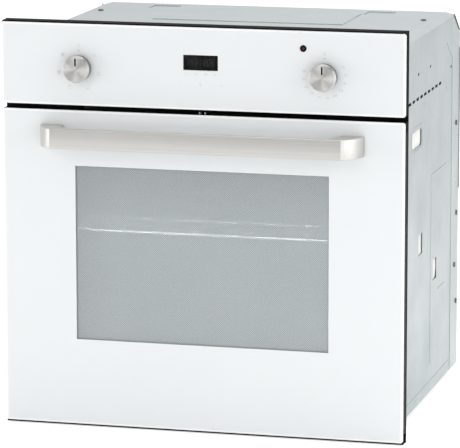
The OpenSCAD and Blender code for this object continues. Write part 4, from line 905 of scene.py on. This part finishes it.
# ---- shelves -----------------------------------------------------------------------------------
# Chromed steel wire: a ladder on each side, and a rack whose long wires stand on its frame.
chrome = finish("chromed_wire", (0.80, 0.81, 0.82), (0.88, 0.89, 0.90), (0.30, 0.40), 160.0, relief=0.08,
                metallic=0.45, edge_wear_and_highlight=(0.5, 0.5, 0.5), edge_wear_and_highlight_amount=0.2, film=0.05)
dress(chrome, "side_ladder_left", "side_ladder_right", "wire_rack")


# ---- heaters and sensor ------------------------------------------------------------------------
# Heater tubes of dark oxidised steel with faint blue and brown bands, and the copper bulb of the
# thermostat.
heater_skin = finish("oxidised_heater", (0.030, 0.030, 0.033), (0.055, 0.048, 0.044), (0.38, 0.55), 18.0,
                     relief=0.15, metallic=0.6, edge_wear_and_highlight=(0.2, 0.18, 0.16), edge_wear_and_highlight_amount=0.3, film=0.04)
dress(heater_skin, "grill_element", "bottom_element", "ring_element")
copper = finish("dull_copper", (0.52, 0.28, 0.17), (0.42, 0.21, 0.12), (0.3, 0.45), 120.0, relief=0.1,
                metallic=1.0, edge_wear_and_highlight=(0.7, 0.42, 0.28), edge_wear_and_highlight_amount=0.4, film=0.05)
dress(copper, "thermostat_bulb")


# ---- door seal ---------------------------------------------------------------------------------
# A loop of black silicone that the inner glass presses on.
silicone = finish("black_silicone", (0.022, 0.022, 0.023), (0.032, 0.032, 0.033), (0.5, 0.65), 150.0,
                  relief=0.2, film=0.12)
dress(silicone, "door_gasket")


# ---- insulation --------------------------------------------------------------------------------
# Glass wool wrapped round the cavity: soft, matted, a little lumpy, and nearly white. It swells
# against the side panels.
wool = finish("glass_wool", (0.70, 0.695, 0.66), (0.80, 0.795, 0.765), (0.9, 1.0), 60.0, relief=1.0, film=0.1,
              constants={"Sheen Weight": 0.4, "Sheen Roughness": 0.6})
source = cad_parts["insulation"]
felt = bmesh.new()
felt.from_mesh(source.data)
bmesh.ops.remove_doubles(felt, verts=felt.verts, dist=1e-6)
wool_low, wool_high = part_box("insulation")
wool_step = 0.013
for axis in range(3):
    direction = Vector((0, 0, 0))
    direction[axis] = 1.0
    span = wool_high[axis] - wool_low[axis]
    cuts = int(span / wool_step)
    for i in range(1, cuts):
        position = Vector((0, 0, 0))
        position[axis] = wool_low[axis] + span * i / cuts
        bmesh.ops.bisect_plane(felt, geom=felt.verts[:] + felt.edges[:] + felt.faces[:], plane_co=position,
                               plane_no=direction)
felt.normal_update()
lump_depth = 0.0022
side_swell = 0.0095
for vertex in felt.verts:
    lump = noise.noise(vertex.co * 38.0) * 0.5 + noise.noise(vertex.co * 140.0) * 0.5 + 0.55
    vertex.co -= vertex.normal * lump_depth * max(lump, 0.0)
    if abs(vertex.co.x) > wool_high.x - 0.003:
        vertex.co.x += math.copysign(side_swell, vertex.co.x)
wool_piece = model("cavity_wool", felt, "cabinet", (wool,), ("insulation",), sharp=80.0)


# ---- fans and motors ---------------------------------------------------------------------------
# A pressed fan wheel on a shaded-pole motor behind the rear wall, and a drum blower that cools
# the controls.
motor_iron = finish("motor_laminations", (0.20, 0.205, 0.21), (0.30, 0.30, 0.31), (0.4, 0.6), 130.0,
                    stretch=(1, 6, 1), relief=0.3, metallic=0.7, edge_wear_and_highlight=(0.5, 0.5, 0.5), edge_wear_and_highlight_amount=0.5, film=0.15)
wheel_steel = finish("fan_wheel_steel", (0.50, 0.51, 0.52), (0.58, 0.59, 0.60), (0.28, 0.4), 90.0, relief=0.1,
                     metallic=1.0, edge_wear_and_highlight=(0.7, 0.7, 0.7), edge_wear_and_highlight_amount=0.5, film=0.1)
dress(motor_iron, "convection_motor", "blower_motor")
dress(wheel_steel, "convection_fan", "blower_rotor")


# ---- control bodies ----------------------------------------------------------------------------
# Rotary switch and thermostat in pale moulded plastic, and the timer's green board in its housing.
switch_body = finish("switch_body", (0.62, 0.58, 0.48), (0.68, 0.64, 0.54), (0.4, 0.55), 90.0, relief=0.15,
                     edge_wear_and_highlight=(0.75, 0.72, 0.62), edge_wear_and_highlight_amount=0.3, film=0.1)
board_green = finish("timer_board", (0.02, 0.09, 0.045), (0.03, 0.12, 0.06), (0.3, 0.45), 200.0, relief=0.2,
                     film=0.1)
dress(switch_body, "function_switch", "thermostat")
dress(board_green, "timer_module")


# ---- light inside ------------------------------------------------------------------------------
# A small soft light just inside the door, over the rack, stands in for daylight through the panes.
glow = bpy.data.objects.new("cavity_glow", bpy.data.lights.new("cavity_glow", "AREA"))
scene.collection.objects.link(glow)
cavity_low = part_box("cavity_liner")[0]
rack_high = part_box("wire_rack")[1]
glow.location = (0.0, cavity_low.y + 0.001, rack_high.z + 0.045)
glow.rotation_euler = (math.radians(40), 0, 0)
glow.data.shape = "RECTANGLE"
glow.data.size, glow.data.size_y = 0.43, 0.012
glow.data.energy = 0.5
glow.visible_camera = False
